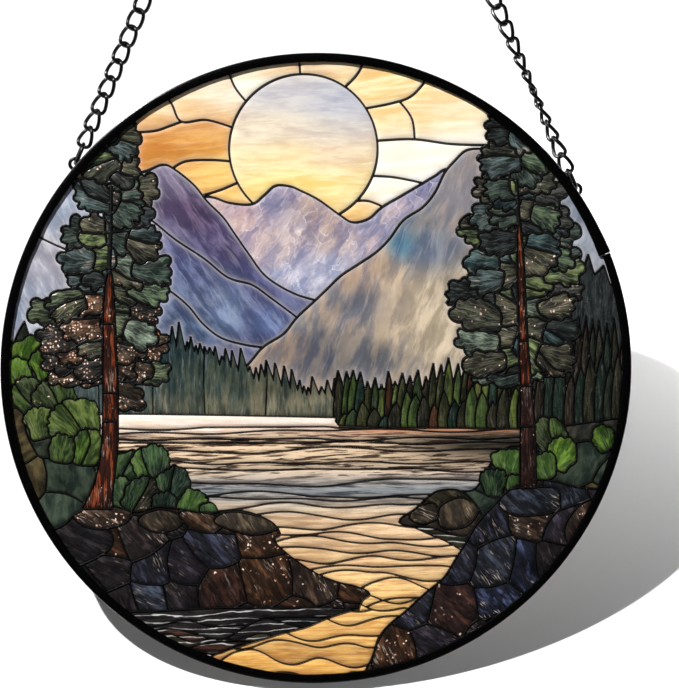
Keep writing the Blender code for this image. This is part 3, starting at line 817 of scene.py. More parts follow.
# The water: at each depth below the disc's centre, the tone of its light strips and of its dark ones
WATER = (
    (13, 255, 250, 240, 252, 236, 222), (18, 255, 240, 222, 240, 206, 178),
    (21, 246, 216, 184, 96, 70, 56), (24, 250, 218, 180, 110, 82, 62), (29, 244, 214, 178, 134, 106, 82),
    (34, 190, 178, 166, 80, 76, 74), (38, 138, 146, 150, 48, 58, 70), (42, 196, 184, 168, 104, 98, 92),
    (47, 246, 214, 172, 192, 156, 120), (54, 248, 210, 164, 200, 160, 118),
    (64, 248, 206, 146, 200, 150, 100), (76, 250, 208, 130, 206, 150, 82),
    (98, 240, 182, 94, 196, 132, 62),
)
# The wood's shadow on the water and the warm light at its foot: where, and their tones
WOOD_SHADOW = ((56, -23.4, 26, 5.2), tone(54, 51, 38), tone(24, 22, 17))
WOOD_GLOW = ((36, -18.7, 32, 1.3), tone(240, 150, 84))
GLOW_STRENGTH = 0.9
DARK_GLOW = 0.7

# What a pane of each kind may be: its two tones, then its sparkle, ripple and glint; sparkle and glint set
# its painted highlights
PALETTES = {
    "pine_bough": (
        (40, 52, 43, 103, 122, 91, 0, 0.9, 0.3), (36, 43, 45, 84, 101, 101, 0, 0.7, 0.6),
        (45, 54, 36, 126, 140, 87, 0, 1, 0.2), (38, 38, 38, 77, 80, 75, 0.1, 0.3, 0.4),
        (43, 41, 35, 87, 83, 66, 0.12, 0.6, 0.3), (31, 45, 47, 73, 98, 101, 0, 0.6, 0.5),
        (47, 54, 49, 136, 152, 133, 0, 0.9, 0.3), (25, 28, 29, 48, 55, 55, 0, 0.2, 0.1),
        (38, 38, 34, 77, 80, 63, 0.1, 0.4, 0.2), (31, 40, 38, 68, 84, 75, 0, 0.5, 0.2),
    ),
    "brown_bough": (
        (44, 32, 26, 112, 82, 60, 1, 0.2, 0.5), (38, 32, 28, 88, 70, 54, 0.9, 0.3, 0.4),
        (34, 36, 30, 78, 76, 54, 0.2, 0.8, 0.3), (30, 29, 28, 56, 52, 48, 0.7, 0.2, 0.3),
        (36, 42, 34, 88, 96, 68, 0, 0.9, 0.2),
    ),
    "bush": (
        (36, 59, 18, 81, 110, 38, 0, 0.6, 0.1), (31, 47, 22, 63, 81, 38, 0, 0.5, 0.1),
        (45, 63, 27, 92, 108, 52, 0, 0.7, 0.2), (31, 40, 25, 61, 72, 45, 0.1, 0.5, 0.1),
        (47, 74, 20, 97, 126, 47, 0, 0.4, 0.1),
    ),
    "deep_bush": (
        (26, 42, 30, 52, 74, 46, 0, 0.4, 0.1), (34, 54, 34, 66, 88, 52, 0, 0.4, 0.1),
        (20, 34, 28, 40, 56, 46, 0, 0.3, 0.1), (48, 74, 32, 88, 112, 58, 0, 0.4, 0.1),
        (30, 29, 24, 52, 50, 38, 0.1, 0.2, 0.1),
    ),
    "bank": (
        (34, 40, 34, 60, 66, 52, 0, 0, 0.1), (48, 42, 30, 86, 76, 50, 0, 0, 0.1),
        (32, 33, 30, 58, 58, 50, 0, 0, 0.1), (32, 42, 36, 56, 66, 54, 0, 0, 0),
    ),
    "blue_rock": (
        (26, 26, 31, 54, 56, 72, 0, 0, 0.3), (24, 26, 36, 70, 78, 108, 0, 0, 0.9),
        (27, 29, 34, 60, 65, 78, 0, 0, 0.5), (31, 28, 33, 60, 53, 64, 0, 0, 0.2),
    ),
    "brown_rock": (
        (34, 24, 23, 68, 44, 36, 0.1, 0, 0.2), (38, 30, 27, 80, 62, 50, 0.15, 0, 0.8),
        (26, 23, 25, 52, 45, 49, 0, 0, 0.2), (42, 29, 22, 84, 56, 38, 0.2, 0, 0.5),
        (30, 26, 26, 62, 52, 50, 0, 0, 0.7), (22, 20, 22, 42, 38, 40, 0, 0, 0.1),
    ),
    "top_rock": (
        (46, 40, 34, 86, 74, 58, 0, 0, 0.5), (50, 37, 29, 94, 70, 52, 0, 0, 0.6),
        (36, 33, 24, 72, 64, 42, 0, 0, 0.2),
    ),
    "shallows": (
        (24, 22, 22, 46, 42, 43, 0, 1, 0.5), (30, 22, 20, 74, 48, 38, 0.1, 1, 0.7),
        (20, 21, 22, 42, 44, 46, 0, 1, 0.5), (28, 28, 22, 54, 52, 38, 0, 1, 0.3),
    ),
    "near_forest": (
        (44, 54, 26, 86, 98, 46, 0, 0, 0), (22, 38, 31, 36, 57, 44, 0, 0, 0),
        (42, 28, 18, 72, 46, 30, 0, 0, 0), (24, 34, 22, 48, 62, 38, 0, 0, 0),
        (58, 64, 32, 108, 112, 62, 0, 0, 0), (24, 25, 19, 46, 45, 32, 0, 0, 0),
        (38, 52, 26, 70, 88, 44, 0, 0, 0), (30, 34, 20, 60, 62, 36, 0, 0, 0),
    ),
    "dark_forest": (
        (18, 23, 20, 38, 44, 35, 0, 0, 0), (26, 21, 18, 45, 38, 31, 0, 0, 0),
        (18, 29, 25, 32, 45, 37, 0, 0, 0), (24, 24, 20, 50, 50, 36, 0, 0, 0),
    ),
    "dusk": ((24, 29, 30, 46, 50, 50, 0.05, 0, 0.2), (20, 26, 25, 38, 44, 40, 0.05, 0, 0.2)),
    "dark_trunk": ((32, 20, 18, 62, 40, 34, 0.1, 0, 0.2),),
    "pine_trunk": ((40, 20, 15, 124, 60, 36, 0.05, 0, 0.35),),
}

# How the glass of each kind is brushed: length and width of a stroke in mm, its angle and spread in degrees
BRUSH = {
    "sky": (22, 1.6, 3, 6), "sun": (20, 1.9, -4, 4), "far_peak": (10, 2.4, 48, 10),
    "left_mountain": (13, 2, -60, 8), "right_mountain": (15, 2.4, 72, 6), "far_forest": (12, 1.4, 90, 2),
    "near_forest": (8, 0.8, 90, 4), "lake": (16, 0.6, 0, 2), "pine_trunk": (10, 0.6, 90, 3),
    "pine_bough": (6, 0.9, 20, 80), "bush": (6, 1, 50, 40), "bank": (8, 1.6, 70, 40),
    "rock": (9, 1.1, -44, 26), "shallows": (12, 0.6, 0, 3),
}
# The ground's weight among the washes, the range of a pane's shade, and how much the water's panes differ
GROUND_WEIGHT = 0.08
SHADES = (0.84, 1.16)
DEPTH_SHIFT = 1.2
WATER_LEAN = (-0.35, 0.45)
STROKE_NUMBERS = 40


def nearness(points, x, y, across, up):
    """How near each point is to a spot, from 0 to 1."""
    return np.exp(-(((points[:, 0] - x) / across) ** 2 + ((points[:, 1] - y) / up) ** 2))


def blend_washes(points, ground, spots):
    """The two tones of the washes at each point."""
    total = np.full(len(points), GROUND_WEIGHT)
    both = total[:, None] * np.array(tone(*ground))
    for x, y, across, up, *tones in spots:
        weight = nearness(points, x, y, across, up)
        total += weight
        both += weight[:, None] * np.array(tone(*tones))
    both /= total[:, None]
    return both[:, :3], both[:, 3:]


def pane_look(kind, centre, rng):
    """The palette entry of a pane, by its kind and place."""
    x, y = centre
    choice = kind
    if kind == "pine_bough" and x < 0 and y < 24 and rng.random() < 0.8:
        choice = "brown_bough"
    if kind == "bush" and (y < -27 or x > 85 and y < -22):
        choice = "deep_bush"
    if kind == "rock" and (y > -50 and -58 < x < -10 or 24 < x < 54 and y > -54):
        choice = "top_rock"
    if choice == "rock":
        blue = 0.55 if -64 < x < -36 and y > -72 or x > 44 and y > -64 else 0.12
        choice = "blue_rock" if rng.random() < blue else "brown_rock"
    if kind == "pine_trunk" and x > 0 and y < -4:
        choice = "dark_trunk"
    if kind == "near_forest" and x > 66:
        choice = "dusk" if y > 12 else "dark_forest"
    return rng.choice(PALETTES[choice])


def pane_colours(kind, points, centre, rng):
    """The two tones at each point of a pane, and its sparkle, ripple and glint."""
    shade = rng.uniform(*SHADES)
    if kind in WASHES:
        return *blend_washes(points, *WASHES[kind]), (0, 0, 0)
    if kind == "lake":
        depths = -points[:, 1] + rng.uniform(-DEPTH_SHIFT, DEPTH_SHIFT)
        stops, *bands = zip(*((depth, *tone(*tones)) for depth, *tones in WATER))
        both = np.stack([np.interp(depths, stops, band) for band in bands], axis=1)
        light, dark = both[:, :3], both[:, 3:]
        place, leaf, stem = WOOD_SHADOW
        hidden = 1 - (1 - nearness(points, *place)[:, None]) ** 2
        light = shade * (light * (1 - hidden) + np.array(leaf) * hidden)
        dark = shade * (dark * (1 - hidden) + np.array(stem) * hidden)
        place, warm = WOOD_GLOW
        glow = GLOW_STRENGTH * nearness(points, *place)[:, None]
        light = light * (1 - glow) + np.array(warm) * glow
        dark = dark * (1 - glow) + DARK_GLOW * np.array(warm) * glow
        lean = rng.uniform(*WATER_LEAN)
        return light + (dark - light) * max(0, lean), dark + (light - dark) * max(0, -lean), (0, 0, 0)
    *tones, sparkle, ripple, glint = pane_look(kind, centre, rng)
    flat = np.full((len(points), 1), shade)
    return flat * np.array(tone(*tones[:3])), flat * np.array(tone(*tones[3:])), (sparkle, ripple, glint)


def strokes(kind, points, root, rng):
    """How far each point lies along and across the strokes of its pane, and a number of the pane's own."""
    angle, spread = BRUSH[kind][2:]
    turn = math.radians(angle + rng.uniform(-spread, spread))
    if root is None:
        along = points @ (math.cos(turn), math.sin(turn))
        across = points @ (-math.sin(turn), math.cos(turn))
    else:
        away, aim = points - root, points.mean(axis=0) - root
        along = np.hypot(*away.T)
        across = np.hypot(*aim) * np.arctan2(aim[0] * away[:, 1] - aim[1] * away[:, 0], away @ aim)
    return np.stack([along, across, np.full(len(points), STROKE_NUMBERS * rng.random())], axis=1)


# Meshes


def placed(name, data, place=(0, 0, 0), turn=None):
    """An object in the scene, at a place and turned."""
    obj = bpy.data.objects.new(name, data)
    obj.location = place
    if turn is not None:
        obj.rotation_mode = "QUATERNION"
        obj.rotation_quaternion = turn
    bpy.context.scene.collection.objects.link(obj)
    return obj


def new_piece(name, verts, faces, material, matrix=None, smooth_from=60):
    """A mesh object of one material that rides with the part."""
    data = bpy.data.meshes.new(name)
    data.from_pydata([tuple(v) for v in verts], [], faces)
    data.validate()
    data.shade_smooth()
    data.set_sharp_from_angle(angle=math.radians(smooth_from))
    data.materials.append(material)
    obj = placed(name, data)
    if matrix is not None:
        obj.matrix_world = matrix
    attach(obj, "root")
    return obj


GRID_MARGIN = 0.4


def slab(loops, front):
    """A closed plate of glass, its front falling off to the edge: corners, faces and ways to the edge."""
    inner = shrunk(loops, GLASS_ROUNDING)
    low, high = np.min(np.vstack(loops), axis=0), np.max(np.vstack(loops), axis=0)
    xs, ys = (np.arange(low[k] + GLASS_GRID / 2, high[k], GLASS_GRID) for k in (0, 1))
    inside = np.array([(x, y) for x in xs for y in ys]).reshape(-1, 2)
    if len(inside) and inner:
        inside = inside[winding(inside, inner) > 0]
        if len(inside):
            inside = inside[distance_to(inside, inner) > GRID_MARGIN * GLASS_GRID]
    else:
        inside = inside[:0]
    points, rims = sides(loops + inner)
    points += [tuple(point) for point in inside]
    corners, faces, centres, _ = triangles(points, rims)
    keep = winding(centres, loops) > 0
    faces = [list(face) for face, kept in zip(faces, keep) if kept]
    away = distance_to(corners, loops)
    heights = GLASS_EDGE + (front - GLASS_EDGE) * (1 - np.exp(-away / GLASS_ROUNDING))
    edges = half_edges([tuple(face) for face in faces])
    border = [pair for pair in edges if pair[::-1] not in edges]
    used = sorted({corner for pair in border for corner in pair})
    number = {corner: i for i, corner in enumerate(used)}
    flat = triangles([corners[corner] for corner in used], [(number[a], number[b]) for a, b in border])
    offset = len(corners)
    verts = [(x, y, z) for (x, y), z in zip(corners, heights)]
    # The back has corners at its edge alone, unless some of them fall together
    if len(flat[0]) == len(used):
        verts += [(corners[corner][0], corners[corner][1], -GLASS_BACK) for corner in used]
        under = winding(flat[2], loops) > 0
        faces += [[offset + c for c in reversed(face)] for face, kept in zip(flat[1], under) if kept]
        faces += [[b, a, offset + number[a], offset + number[b]] for a, b in border]
    else:
        verts += [(x, y, -GLASS_BACK) for x, y in corners]
        faces += [[offset + c for c in reversed(face)] for face in faces]
        faces += [[b, a, offset + a, offset + b] for a, b in border]
        used = range(len(corners))
    away = np.concatenate([away, away[list(used)]])
    return np.array(verts), faces, away


def paint(data, name, values):
    """Stores a number, place or colour for each point of a mesh."""
    values = np.asarray(values, dtype=np.float32)
    kind, field = ("FLOAT", "value") if values.ndim == 1 else ("FLOAT_VECTOR", "vector")
    data.attributes.new(name, kind, "POINT").data.foreach_set(field, values.ravel())


def make_glass(listed):
    """All panes of a kind as one piece, each with its own colours."""
    rng = random.Random(GLASS_SEED)
    kinds = {}
    for name, loops, root in listed:
        outline = shrunk(loops, HALF_LINE[name] - LEAD_OVERLAP)
        if outline:
            kinds.setdefault(name, []).append((outline, root))
    for kind, group in kinds.items():
        verts, faces, layers = [], [], []
        offset = 0
        for loops, root in group:
            corners, polygons, away = slab(loops, GLASS_FRONT * rng.uniform(*GLASS_RISE))
            places = corners[:, :2]
            first, second, effects = pane_colours(kind, places, places.mean(axis=0), rng)
            grain, effects = strokes(kind, places, root, rng), np.tile(effects, (len(corners), 1))
            layers.append(np.hstack([first, second, grain, effects, away[:, None]]))
            verts.append(corners)
            faces += [[offset + c for c in face] for face in polygons]
            offset += len(corners)
        piece = new_piece(f"{kind}_glass", np.vstack(verts) * MM, faces, glass(kind), DISC, 50)
        layers = np.vstack(layers)
        for index, label in enumerate(("wash", "streak", "grain", "effects")):
            paint(piece.data, label, layers[:, 3 * index:3 * index + 3])
        paint(piece.data, "edge", layers[:, 12])
        nodes = [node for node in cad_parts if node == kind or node.rpartition("_")[0] == kind]
        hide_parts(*nodes)


def make_lead(listed, corners, borders):
    """The network between the panes: a low ridge along each line."""
    openings = []
    for name, loops, _ in listed:
        openings += shrunk(loops, HALF_LINE[name])
    rim = circle((0, 0), GLASS_RADIUS, CIRCLE_STEPS)
    points, rims = sides(openings + [rim])
    at_edge = len(points)
    used = sorted({corner for pair in borders for corner in pair})
    number = {corner: at_edge + i for i, corner in enumerate(used)}
    points += [tuple(corners[corner]) for corner in used]
    rims += [(number[a], number[b]) for a, b in borders]
    spots, faces, centres, result = triangles(points, rims)
    keep = (winding(centres, openings) <= 0) & (winding(centres, [rim]) > 0)
    faces = [face for face, kept in zip(faces, keep) if kept]
    heights = [LEAD_EDGE if any(source < at_edge for source in sources) else LEAD_FRONT
               for sources in result[3]]
    edges = half_edges(faces)
    border = [pair for pair in edges if pair[::-1] not in edges]
    count = len(spots)
    verts = [(x, y, side * z) for side in (1, -1) for (x, y), z in zip(spots, heights)]
    polygons = [list(face) for face in faces] + [[count + c for c in reversed(face)] for face in faces]
    polygons += [[b, a, count + a, count + b] for a, b in border]
    piece = new_piece("lead_network", np.array(verts) * MM, polygons, metal(*LEAD_METAL), DISC)
    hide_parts("lead_lines")


def lofted(sections, closed):
    """Corners and faces of a skin over sections of equal count; open ends are capped."""
    count = len(sections[0])
    verts = [corner for section in sections for corner in section]
    faces = []
    for i in range(len(sections) if closed else len(sections) - 1):
        j = (i + 1) % len(sections)
        for k in range(count):
            m = (k + 1) % count
            faces.append([i * count + k, j * count + k, j * count + m, i * count + m])
    if not closed:
        faces.append(list(range(count)))
        faces.append([(len(sections) - 1) * count + k for k in reversed(range(count))])
    return verts, faces


# The rim: its joint, its face's width, how it tapers from the joint, and how its upper end stands out there
JOINT_ANGLE = math.radians(21.8)
JOINT_GAP = 0.35
RIM_FACE = 2.9
RIM_FACE_AT_JOINT = 3.9
RIM_TAPER = math.radians(15)
RIM_LIP = 0.3
RIM_LIP_TAPER = 0.05
RIM_STEPS = 420
# How uneven its inner edge is, as waves of (rate, layer of noise, size)
RIM_WOBBLES = ((9, 3, 0.22), (30, 7, 0.12))
# Its channel in section, front half: (step outwards, step back) from the outer side and from the inner one
RIM_OUTER_SIDE = ((0, 0.55), (-0.12, 0.2), (-0.5, 0.02))
RIM_INNER_SIDE = ((0.5, 0.04), (0.12, 0.2), (0, 0.5), (0.05, 0.66))
RIM_FLOOR = (1.4, 0.66)


def make_rim():
    """The channel bent round the glass, its inner edge a little uneven, its ends at a joint."""
    first = JOINT_ANGLE + JOINT_GAP / RIM_RADIUS / 2
    sweep = 2 * math.pi - JOINT_GAP / RIM_RADIUS
    half = RIM_DEPTH / 2
    sections = []
    for i in range(RIM_STEPS + 1):
        turn = sweep * i / RIM_STEPS
        angle = first + turn
        wobble = sum(noise.noise(Vector((math.cos(angle) * rate, math.sin(angle) * rate, layer))) * size
                     for rate, layer, size in RIM_WOBBLES)
        face = RIM_FACE + (RIM_FACE_AT_JOINT - RIM_FACE) * math.exp(-turn / RIM_TAPER) + wobble
        outer, inner = RIM_RADIUS + RIM_LIP * math.exp(-turn / RIM_LIP_TAPER), RIM_RADIUS - face
        front = [(outer + r, half - z) for r, z in RIM_OUTER_SIDE] + [((outer + inner) / 2, half)]
        front += [(inner + r, half - z) for r, z in RIM_INNER_SIDE]
        front.append((RIM_RADIUS - RIM_FLOOR[0], half - RIM_FLOOR[1]))
        channel = [(r, -z) for r, z in reversed(front)] + front
        spoke = Vector((math.cos(angle), math.sin(angle), 0))
        sections.append([spoke * r * MM + Vector((0, 0, z * MM)) for r, z in reversed(channel)])
    verts, faces = lofted(sections, False)
    piece = new_piece("rim_channel", verts, faces, metal(*RIM_METAL), DISC, 40)
    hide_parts("rim")


def tube(path, radius, sides_count, closed=True):
    """A round wire along a path of points: its corners and faces."""
    count = len(path)
    sections = []
    normal = None
    for i, point in enumerate(path):
        before = path[i - 1] if closed or i else point
        behind = path[(i + 1) % count] if closed or i < count - 1 else point
        along = (behind - before).normalized()
        if normal is None:
            normal = along.orthogonal().normalized()
        normal = (normal - along * normal.dot(along)).normalized()
        across = along.cross(normal)
        turns = [2 * math.pi * k / sides_count for k in range(sides_count)]
        sections.append([point + (normal * math.cos(t) + across * math.sin(t)) * radius for t in turns])
    if closed:
        last = sections[-1][0] - path[-1]
        first = sections[0][0] - path[0]
        along = (path[0] - path[-1]).normalized()
        carried = last - along * last.dot(along)
        twist = math.atan2(carried.cross(first).dot(along), carried.dot(first))
        for i, point in enumerate(path):
            along = (path[(i + 1) % count] - path[i - 1]).normalized()
            turn = Matrix.Rotation(twist * (i + 1) / count, 3, along)
            sections[i] = [point + turn @ (corner - point) for corner in sections[i]]
    return lofted(sections, closed)


# The chains: their links' wire, width, twist, contact and number, and how each link rolls about the chain
LINK_WIRE = 1.24
LINK_WIDTH = 5.6
LINK_TWIST = 0.85
LINK_CONTACT = 0.35
LINK_STEPS = 28
LINK_SIDES = 10
LINK_ROUNDNESS = (0.86, 0.8)
LINK_COUNTS = {"left": 33, "right": 35}
LINK_ROLLS = {"left": ((1, 8), (-38, -8)), "right": ((1, 12), (-45, -180))}
END_ROLL = math.radians(-84)
END_GAP = 0.3
# The hanging rings and the top ring, its split as an angle
RING_ANGLES = {"left": math.radians(139.5), "right": math.radians(34.6)}
RING_PLACE = 100.3
RING_RADIUS = 1.7
RING_WIRE = 1.15
RING_STEPS = 40
RING_SIDES = 12
TOP_RING_RADIUS = 7.2
TOP_RING_WIRE = 1.6
TOP_RING_DROP = 6.4
TOP_RING_SPLIT = 0.03
TOP_RING_STEPS = 80
TOP_RING_SIDES = 16


def ring_centre(side):
    angle = RING_ANGLES[side]
    return Vector((math.cos(angle) * RING_PLACE, 0, math.sin(angle) * RING_PLACE + DISC_CENTRE.z / MM))


def link_path(centre, along, roll, half_length, twist):
    """Points round a link that is twisted so that it lies flat, and turned about the chain by its roll."""
    face = Vector((0, -1, 0)) * math.cos(roll) + along.cross(Vector((0, -1, 0))) * math.sin(roll)
    across = along.cross(face)
    half_width = (LINK_WIDTH - LINK_WIRE) / 2
    points = []
    for i in range(LINK_STEPS):
        turn = 2 * math.pi * i / LINK_STEPS
        parts = zip((half_length, half_width), (math.cos(turn), math.sin(turn)), LINK_ROUNDNESS)
        ahead, aside = (half * math.copysign(abs(part) ** power, part) for half, part, power in parts)
        point = centre + along * ahead + across * aside
        points.append((point + face * (twist * math.sin(2 * turn))) * MM)
    return points


def make_chain(side):
    """A curb chain, taut between its hanging ring and the top ring."""
    start = ring_centre(side)
    top = Vector((0, 0, -TOP_RING_DROP))
    along = (top - start).normalized()
    start += along * (RING_RADIUS - RING_WIRE / 2 - END_GAP - LINK_WIRE / 2)
    end = top - along * (TOP_RING_RADIUS - TOP_RING_WIRE / 2 - END_GAP - LINK_WIRE / 2)
    count = LINK_COUNTS[side]
    lap = LINK_WIRE - LINK_CONTACT
    pitch = ((end - start).length - lap) / count
    half_length = (pitch + lap) / 2
    verts, faces = [], []
    for i in range(count):
        centre = start + along * (half_length + pitch * i)
        roll, twist = math.radians(float(np.interp(i, *LINK_ROLLS[side]))), LINK_TWIST
        if i in (0, count - 1):
            roll, twist = END_ROLL, 0
        path = link_path(centre, along, roll, half_length, twist)
        corners, polygons = tube(path, LINK_WIRE / 2 * MM, LINK_SIDES)
        faces += [[len(verts) + c for c in face] for face in polygons]
        verts += corners
    piece = new_piece(f"curb_chain_{side}", verts, faces, metal(*CHAIN_METAL))
    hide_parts(f"chain_{side}")


def ring_path(centre, radius, steps, gap=0.0):
    """Points round a ring that faces the front, with a gap at its right if it is split."""
    turns = [gap / 2 + (2 * math.pi - gap) * i / (steps - (gap > 0)) for i in range(steps)]
    return [(centre + Vector((math.cos(t), 0, math.sin(t))) * radius) * MM for t in turns]


def make_rings():
    for side in ("left", "right"):
        path = ring_path(ring_centre(side), RING_RADIUS, RING_STEPS)
        verts, faces = tube(path, RING_WIRE / 2 * MM, RING_SIDES)
        piece = new_piece(f"rim_ring_{side}", verts, faces, metal(*CHAIN_METAL))
        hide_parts(f"hanging_ring_{side}")
    centre = Vector((0, 0, -TOP_RING_DROP))
    path = ring_path(centre, TOP_RING_RADIUS, TOP_RING_STEPS, TOP_RING_SPLIT)
    verts, faces = tube(path, TOP_RING_WIRE / 2 * MM, TOP_RING_SIDES, closed=False)
    piece = new_piece("split_top_ring", verts, faces, metal(*CHAIN_METAL))
    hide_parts("top_ring")


# Materials


class Nodes:
    """A material's nodes, written as calls that return their first output."""

    def __init__(self, name):
        self.material = bpy.data.materials.new(name)
        self.material.use_nodes = True
        self.tree = self.material.node_tree
        self.shader = self.tree.nodes["Principled BSDF"]

    def set(self, node, inputs):
        for key, value in inputs.items():
            socket = node.inputs[key]
            if isinstance(value, bpy.types.NodeSocket):
                self.tree.links.new(value, socket)
            elif isinstance(value, tuple) and socket.type == "RGBA" and len(value) == 3:
                socket.default_value = (*value, 1)
            else:
                socket.default_value = value

    def add(self, kind, inputs=None, **settings):
        node = self.tree.nodes.new("ShaderNode" + kind)
        for key, value in settings.items():
            setattr(node, key, value)
        self.set(node, inputs or {})
        return node

    def math(self, operation, first, second=0.0, third=0.0):
        return self.add("Math", {0: first, 1: second, 2: third}, operation=operation).outputs[0]

    def product(self, first, *others):
        for other in others:
            first = self.math("MULTIPLY", first, other)
        return first

    def scaled(self, place, scale):
        scale = (scale,) * 3 if isinstance(scale, (int, float)) else scale
        return self.add("VectorMath", {0: place, 1: scale}, operation="MULTIPLY").outputs[0]

    def moved(self, place, shift):
        return self.add("VectorMath", {0: place, 1: shift}, operation="ADD").outputs[0]

    def mix(self, share, first, second, blend="MIX"):
        node = self.add("Mix", data_type="RGBA", blend_type=blend)
        self.set(node, {0: share, 6: first, 7: second})
        return node.outputs[2]

    def ramp(self, value, low, high, out_low=0.0, out_high=1.0):
        """A smooth step from out_low to out_high as the value goes from low to high."""
        inputs = {0: value, 1: low, 2: high, 3: out_low, 4: out_high}
        return self.add("MapRange", inputs, interpolation_type="SMOOTHSTEP").outputs[0]

    def noise(self, place, scale, detail=3.0, roughness=0.55):
        look = {"Scale": 1.0, "Detail": detail, "Roughness": roughness}
        return self.add("TexNoise", {"Vector": self.scaled(place, scale), **look}).outputs[0]

    def contours(self, value, width):
        """Thin lines half way between the whole values."""
        share = self.math("FRACT", value)
        return self.ramp(self.math("ABSOLUTE", self.math("SUBTRACT", share, 0.5)), width, 0.0)

    def place(self):
        """The point on the object, in millimetres."""
        return self.scaled(self.add("TexCoord").outputs["Object"], 1 / MM)

    def attribute(self, name, output="Vector"):
        return self.add("Attribute", attribute_name=name).outputs[output]


# Name, colour, roughness and index of refraction
LEAD_METAL = ("lead_metal", (0.004, 0.0036, 0.0036), 0.45, 1.3)
RIM_METAL = ("rim_metal", (0.0007, 0.0007, 0.0008), 0.2, 1.3)
CHAIN_METAL = ("chain_metal", (0.002, 0.002, 0.002), 0.18, 1.55)


@cache
def metal(name, colour, roughness, ior):
    """Black painted metal: fine grain, worn a little in places."""
    made = Nodes(name)
    place = made.place()
    grain = made.noise(place, 2.2, 4.0)
    wear = made.ramp(made.noise(place, 0.35, 5.0, 0.65), 0.55, 0.75)
    tint = made.mix(made.product(wear, 0.5), colour, tuple(3 * c + 0.0015 for c in colour))
    bump = made.add("Bump", {"Strength": 0.1, "Distance": 0.0001, "Height": grain})
    made.set(made.shader, {
        "Base Color": tint, "IOR": ior, "Normal": bump.outputs[0],
        "Roughness": made.ramp(grain, 0.3, 0.7, roughness - 0.05, roughness + 0.08),
    })
    return made.material


# How the glass of each kind looks: where and how sharply its two tones part, then how strong are its fine
# strokes, blotches, pale rim, dark rim and pale strands
SHADING = {
    "sky": (0.5, 0.7, 0.03, 0.03, 0.3, 0, 0.06), "sun": (0.5, 0.75, 0.03, 0.03, 0.2, 0, 0.06),
    "far_peak": (0.49, 0.9, 0.14, 0.05, 0.4, 0, 0.22),
    "left_mountain": (0.51, 0.95, 0.06, 0.16, 0.45, 0, 0.09),
    "right_mountain": (0.5, 0.9, 0.05, 0.1, 0.3, 0, 0.1), "far_forest": (0.5, 0.9, 0.15, 0.15, 0, 0, 0.08),
    "near_forest": (0.48, 0.9, 0.25, 0.2, 0, 0.25, 0.05), "lake": (0.5, 0.95, 0.1, 0.05, 0.1, 0.1, 0.12),
    "pine_trunk": (0.56, 1.1, 0.3, 0.25, 0, 0.4, 0), "pine_bough": (0.54, 0.8, 0.25, 0.4, 0, 0.45, 0.06),
    "bush": (0.52, 0.95, 0.2, 0.3, 0, 0.35, 0.06), "bank": (0.5, 0.9, 0.15, 0.3, 0, 0.3, 0),
    "rock": (0.57, 1.0, 0.3, 0.4, 0, 0.45, 0), "shallows": (0.52, 0.9, 0.25, 0.2, 0, 0.2, 0),
}
# Kinds whose glass gets painted highlights: sparkles and glints
SPARKLING = ("pine_bough", "rock", "bush", "pine_trunk")
# Fine veins along the strokes: how far apart they are, how much and at what scale they sway, how thin and
# how strong they are, and their tone
VEINED = {
    "pine_bough": (1.15, 2.6, (0.2, 0.24, 1), 0.15, 0.5, tone(146, 160, 132)),
    "bush": (1.1, 1.8, (0.24, 0.3, 1), 0.2, 0.4, tone(126, 144, 84)),
    "shallows": (2.2, 1.6, (0.06, 0.16, 1), 0.1, 1.0, tone(214, 212, 208)),
}
PALE = tone(244, 238, 240)
# The tones of the painted sparkle highlight and of its warm edge
SPARKLE_HIGHLIGHT, SPARKLE_HIGHLIGHT_EDGE = tone(255, 240, 222), tone(150, 84, 50)
# The tone of the painted glint highlights
GLINT = tone(236, 214, 196)
HATCHING = (0.004, 0.005, 0.004)
INK = tone(44, 30, 24)
FAR_TREES = tone(26, 38, 36)
LIGHT_FACET, DARK_FACET = tone(236, 222, 222), tone(122, 116, 150)


def add_sparkles(made, colour, place, amount, clouds):
    """Painted highlights: small bright sparkles of light with a warm edge, in clusters."""
    shift = made.add("TexNoise", {"Vector": place, "Scale": 1.1, "Detail": 3.0}).outputs["Color"]
    shaken = made.moved(place, made.scaled(shift, 1.1))
    cells = made.add("TexVoronoi", {"Vector": shaken, "Scale": 1.15}, voronoi_dimensions="2D")
    pick, size, heat = made.add("SeparateColor", {0: cells.outputs["Color"]}).outputs
    chosen = made.ramp(made.math("ADD", pick, made.product(amount, 0.55)), 1.0, 1.05)
    chosen = made.product(chosen, made.ramp(clouds, 0.4, 0.52))
    reach = made.math("SUBTRACT", cells.outputs["Distance"], made.product(size, 0.28))
    warm = made.product(made.ramp(reach, 0.34, 0.16), chosen, 0.8)
    core = made.product(made.ramp(reach, 0.2, 0.02), chosen, made.ramp(heat, 0.1, 0.6, 0.3, 1.0))
    return made.mix(core, made.mix(warm, colour, SPARKLE_HIGHLIGHT_EDGE), SPARKLE_HIGHLIGHT)


def add_glints(made, colour, brushed, amount, clouds):
    """Painted highlights: short bright glints of light along the strokes, in patches."""
    glint_stroke = made.noise(brushed, (0.28, 3.0, 1), 2.0, 0.5)
    patch = made.ramp(made.noise(brushed, (0.12, 0.16, 1), 2.0), 0.53, 0.64)
    lines = made.product(made.ramp(glint_stroke, 0.57, 0.65), patch, amount, 0.8)
    return made.mix(lines, colour, GLINT)


def veins(made, kind, brushed, amount, clouds):
    """How strongly fine veins along the strokes show."""
    pitch, sway, scale, width, *_ = VEINED[kind]
    across = made.add("SeparateXYZ", {0: brushed}).outputs[1]
    lines = made.math("MULTIPLY_ADD", across, 1 / pitch, made.product(made.noise(brushed, scale), sway))
    return made.product(made.contours(lines, width), amount, made.ramp(clouds, 0.35, 0.55, 0.25, 1.0))


def add_hatching(made, colour, place, clouds):
    """Dark level dashes between the branches of the near forest."""
    dashes = made.ramp(made.noise(place, (0.5, 4.5, 1), 1.0), 0.52, 0.62)
    return made.mix(made.product(dashes, made.ramp(clouds, 0.42, 0.58), 0.55), colour, HATCHING)


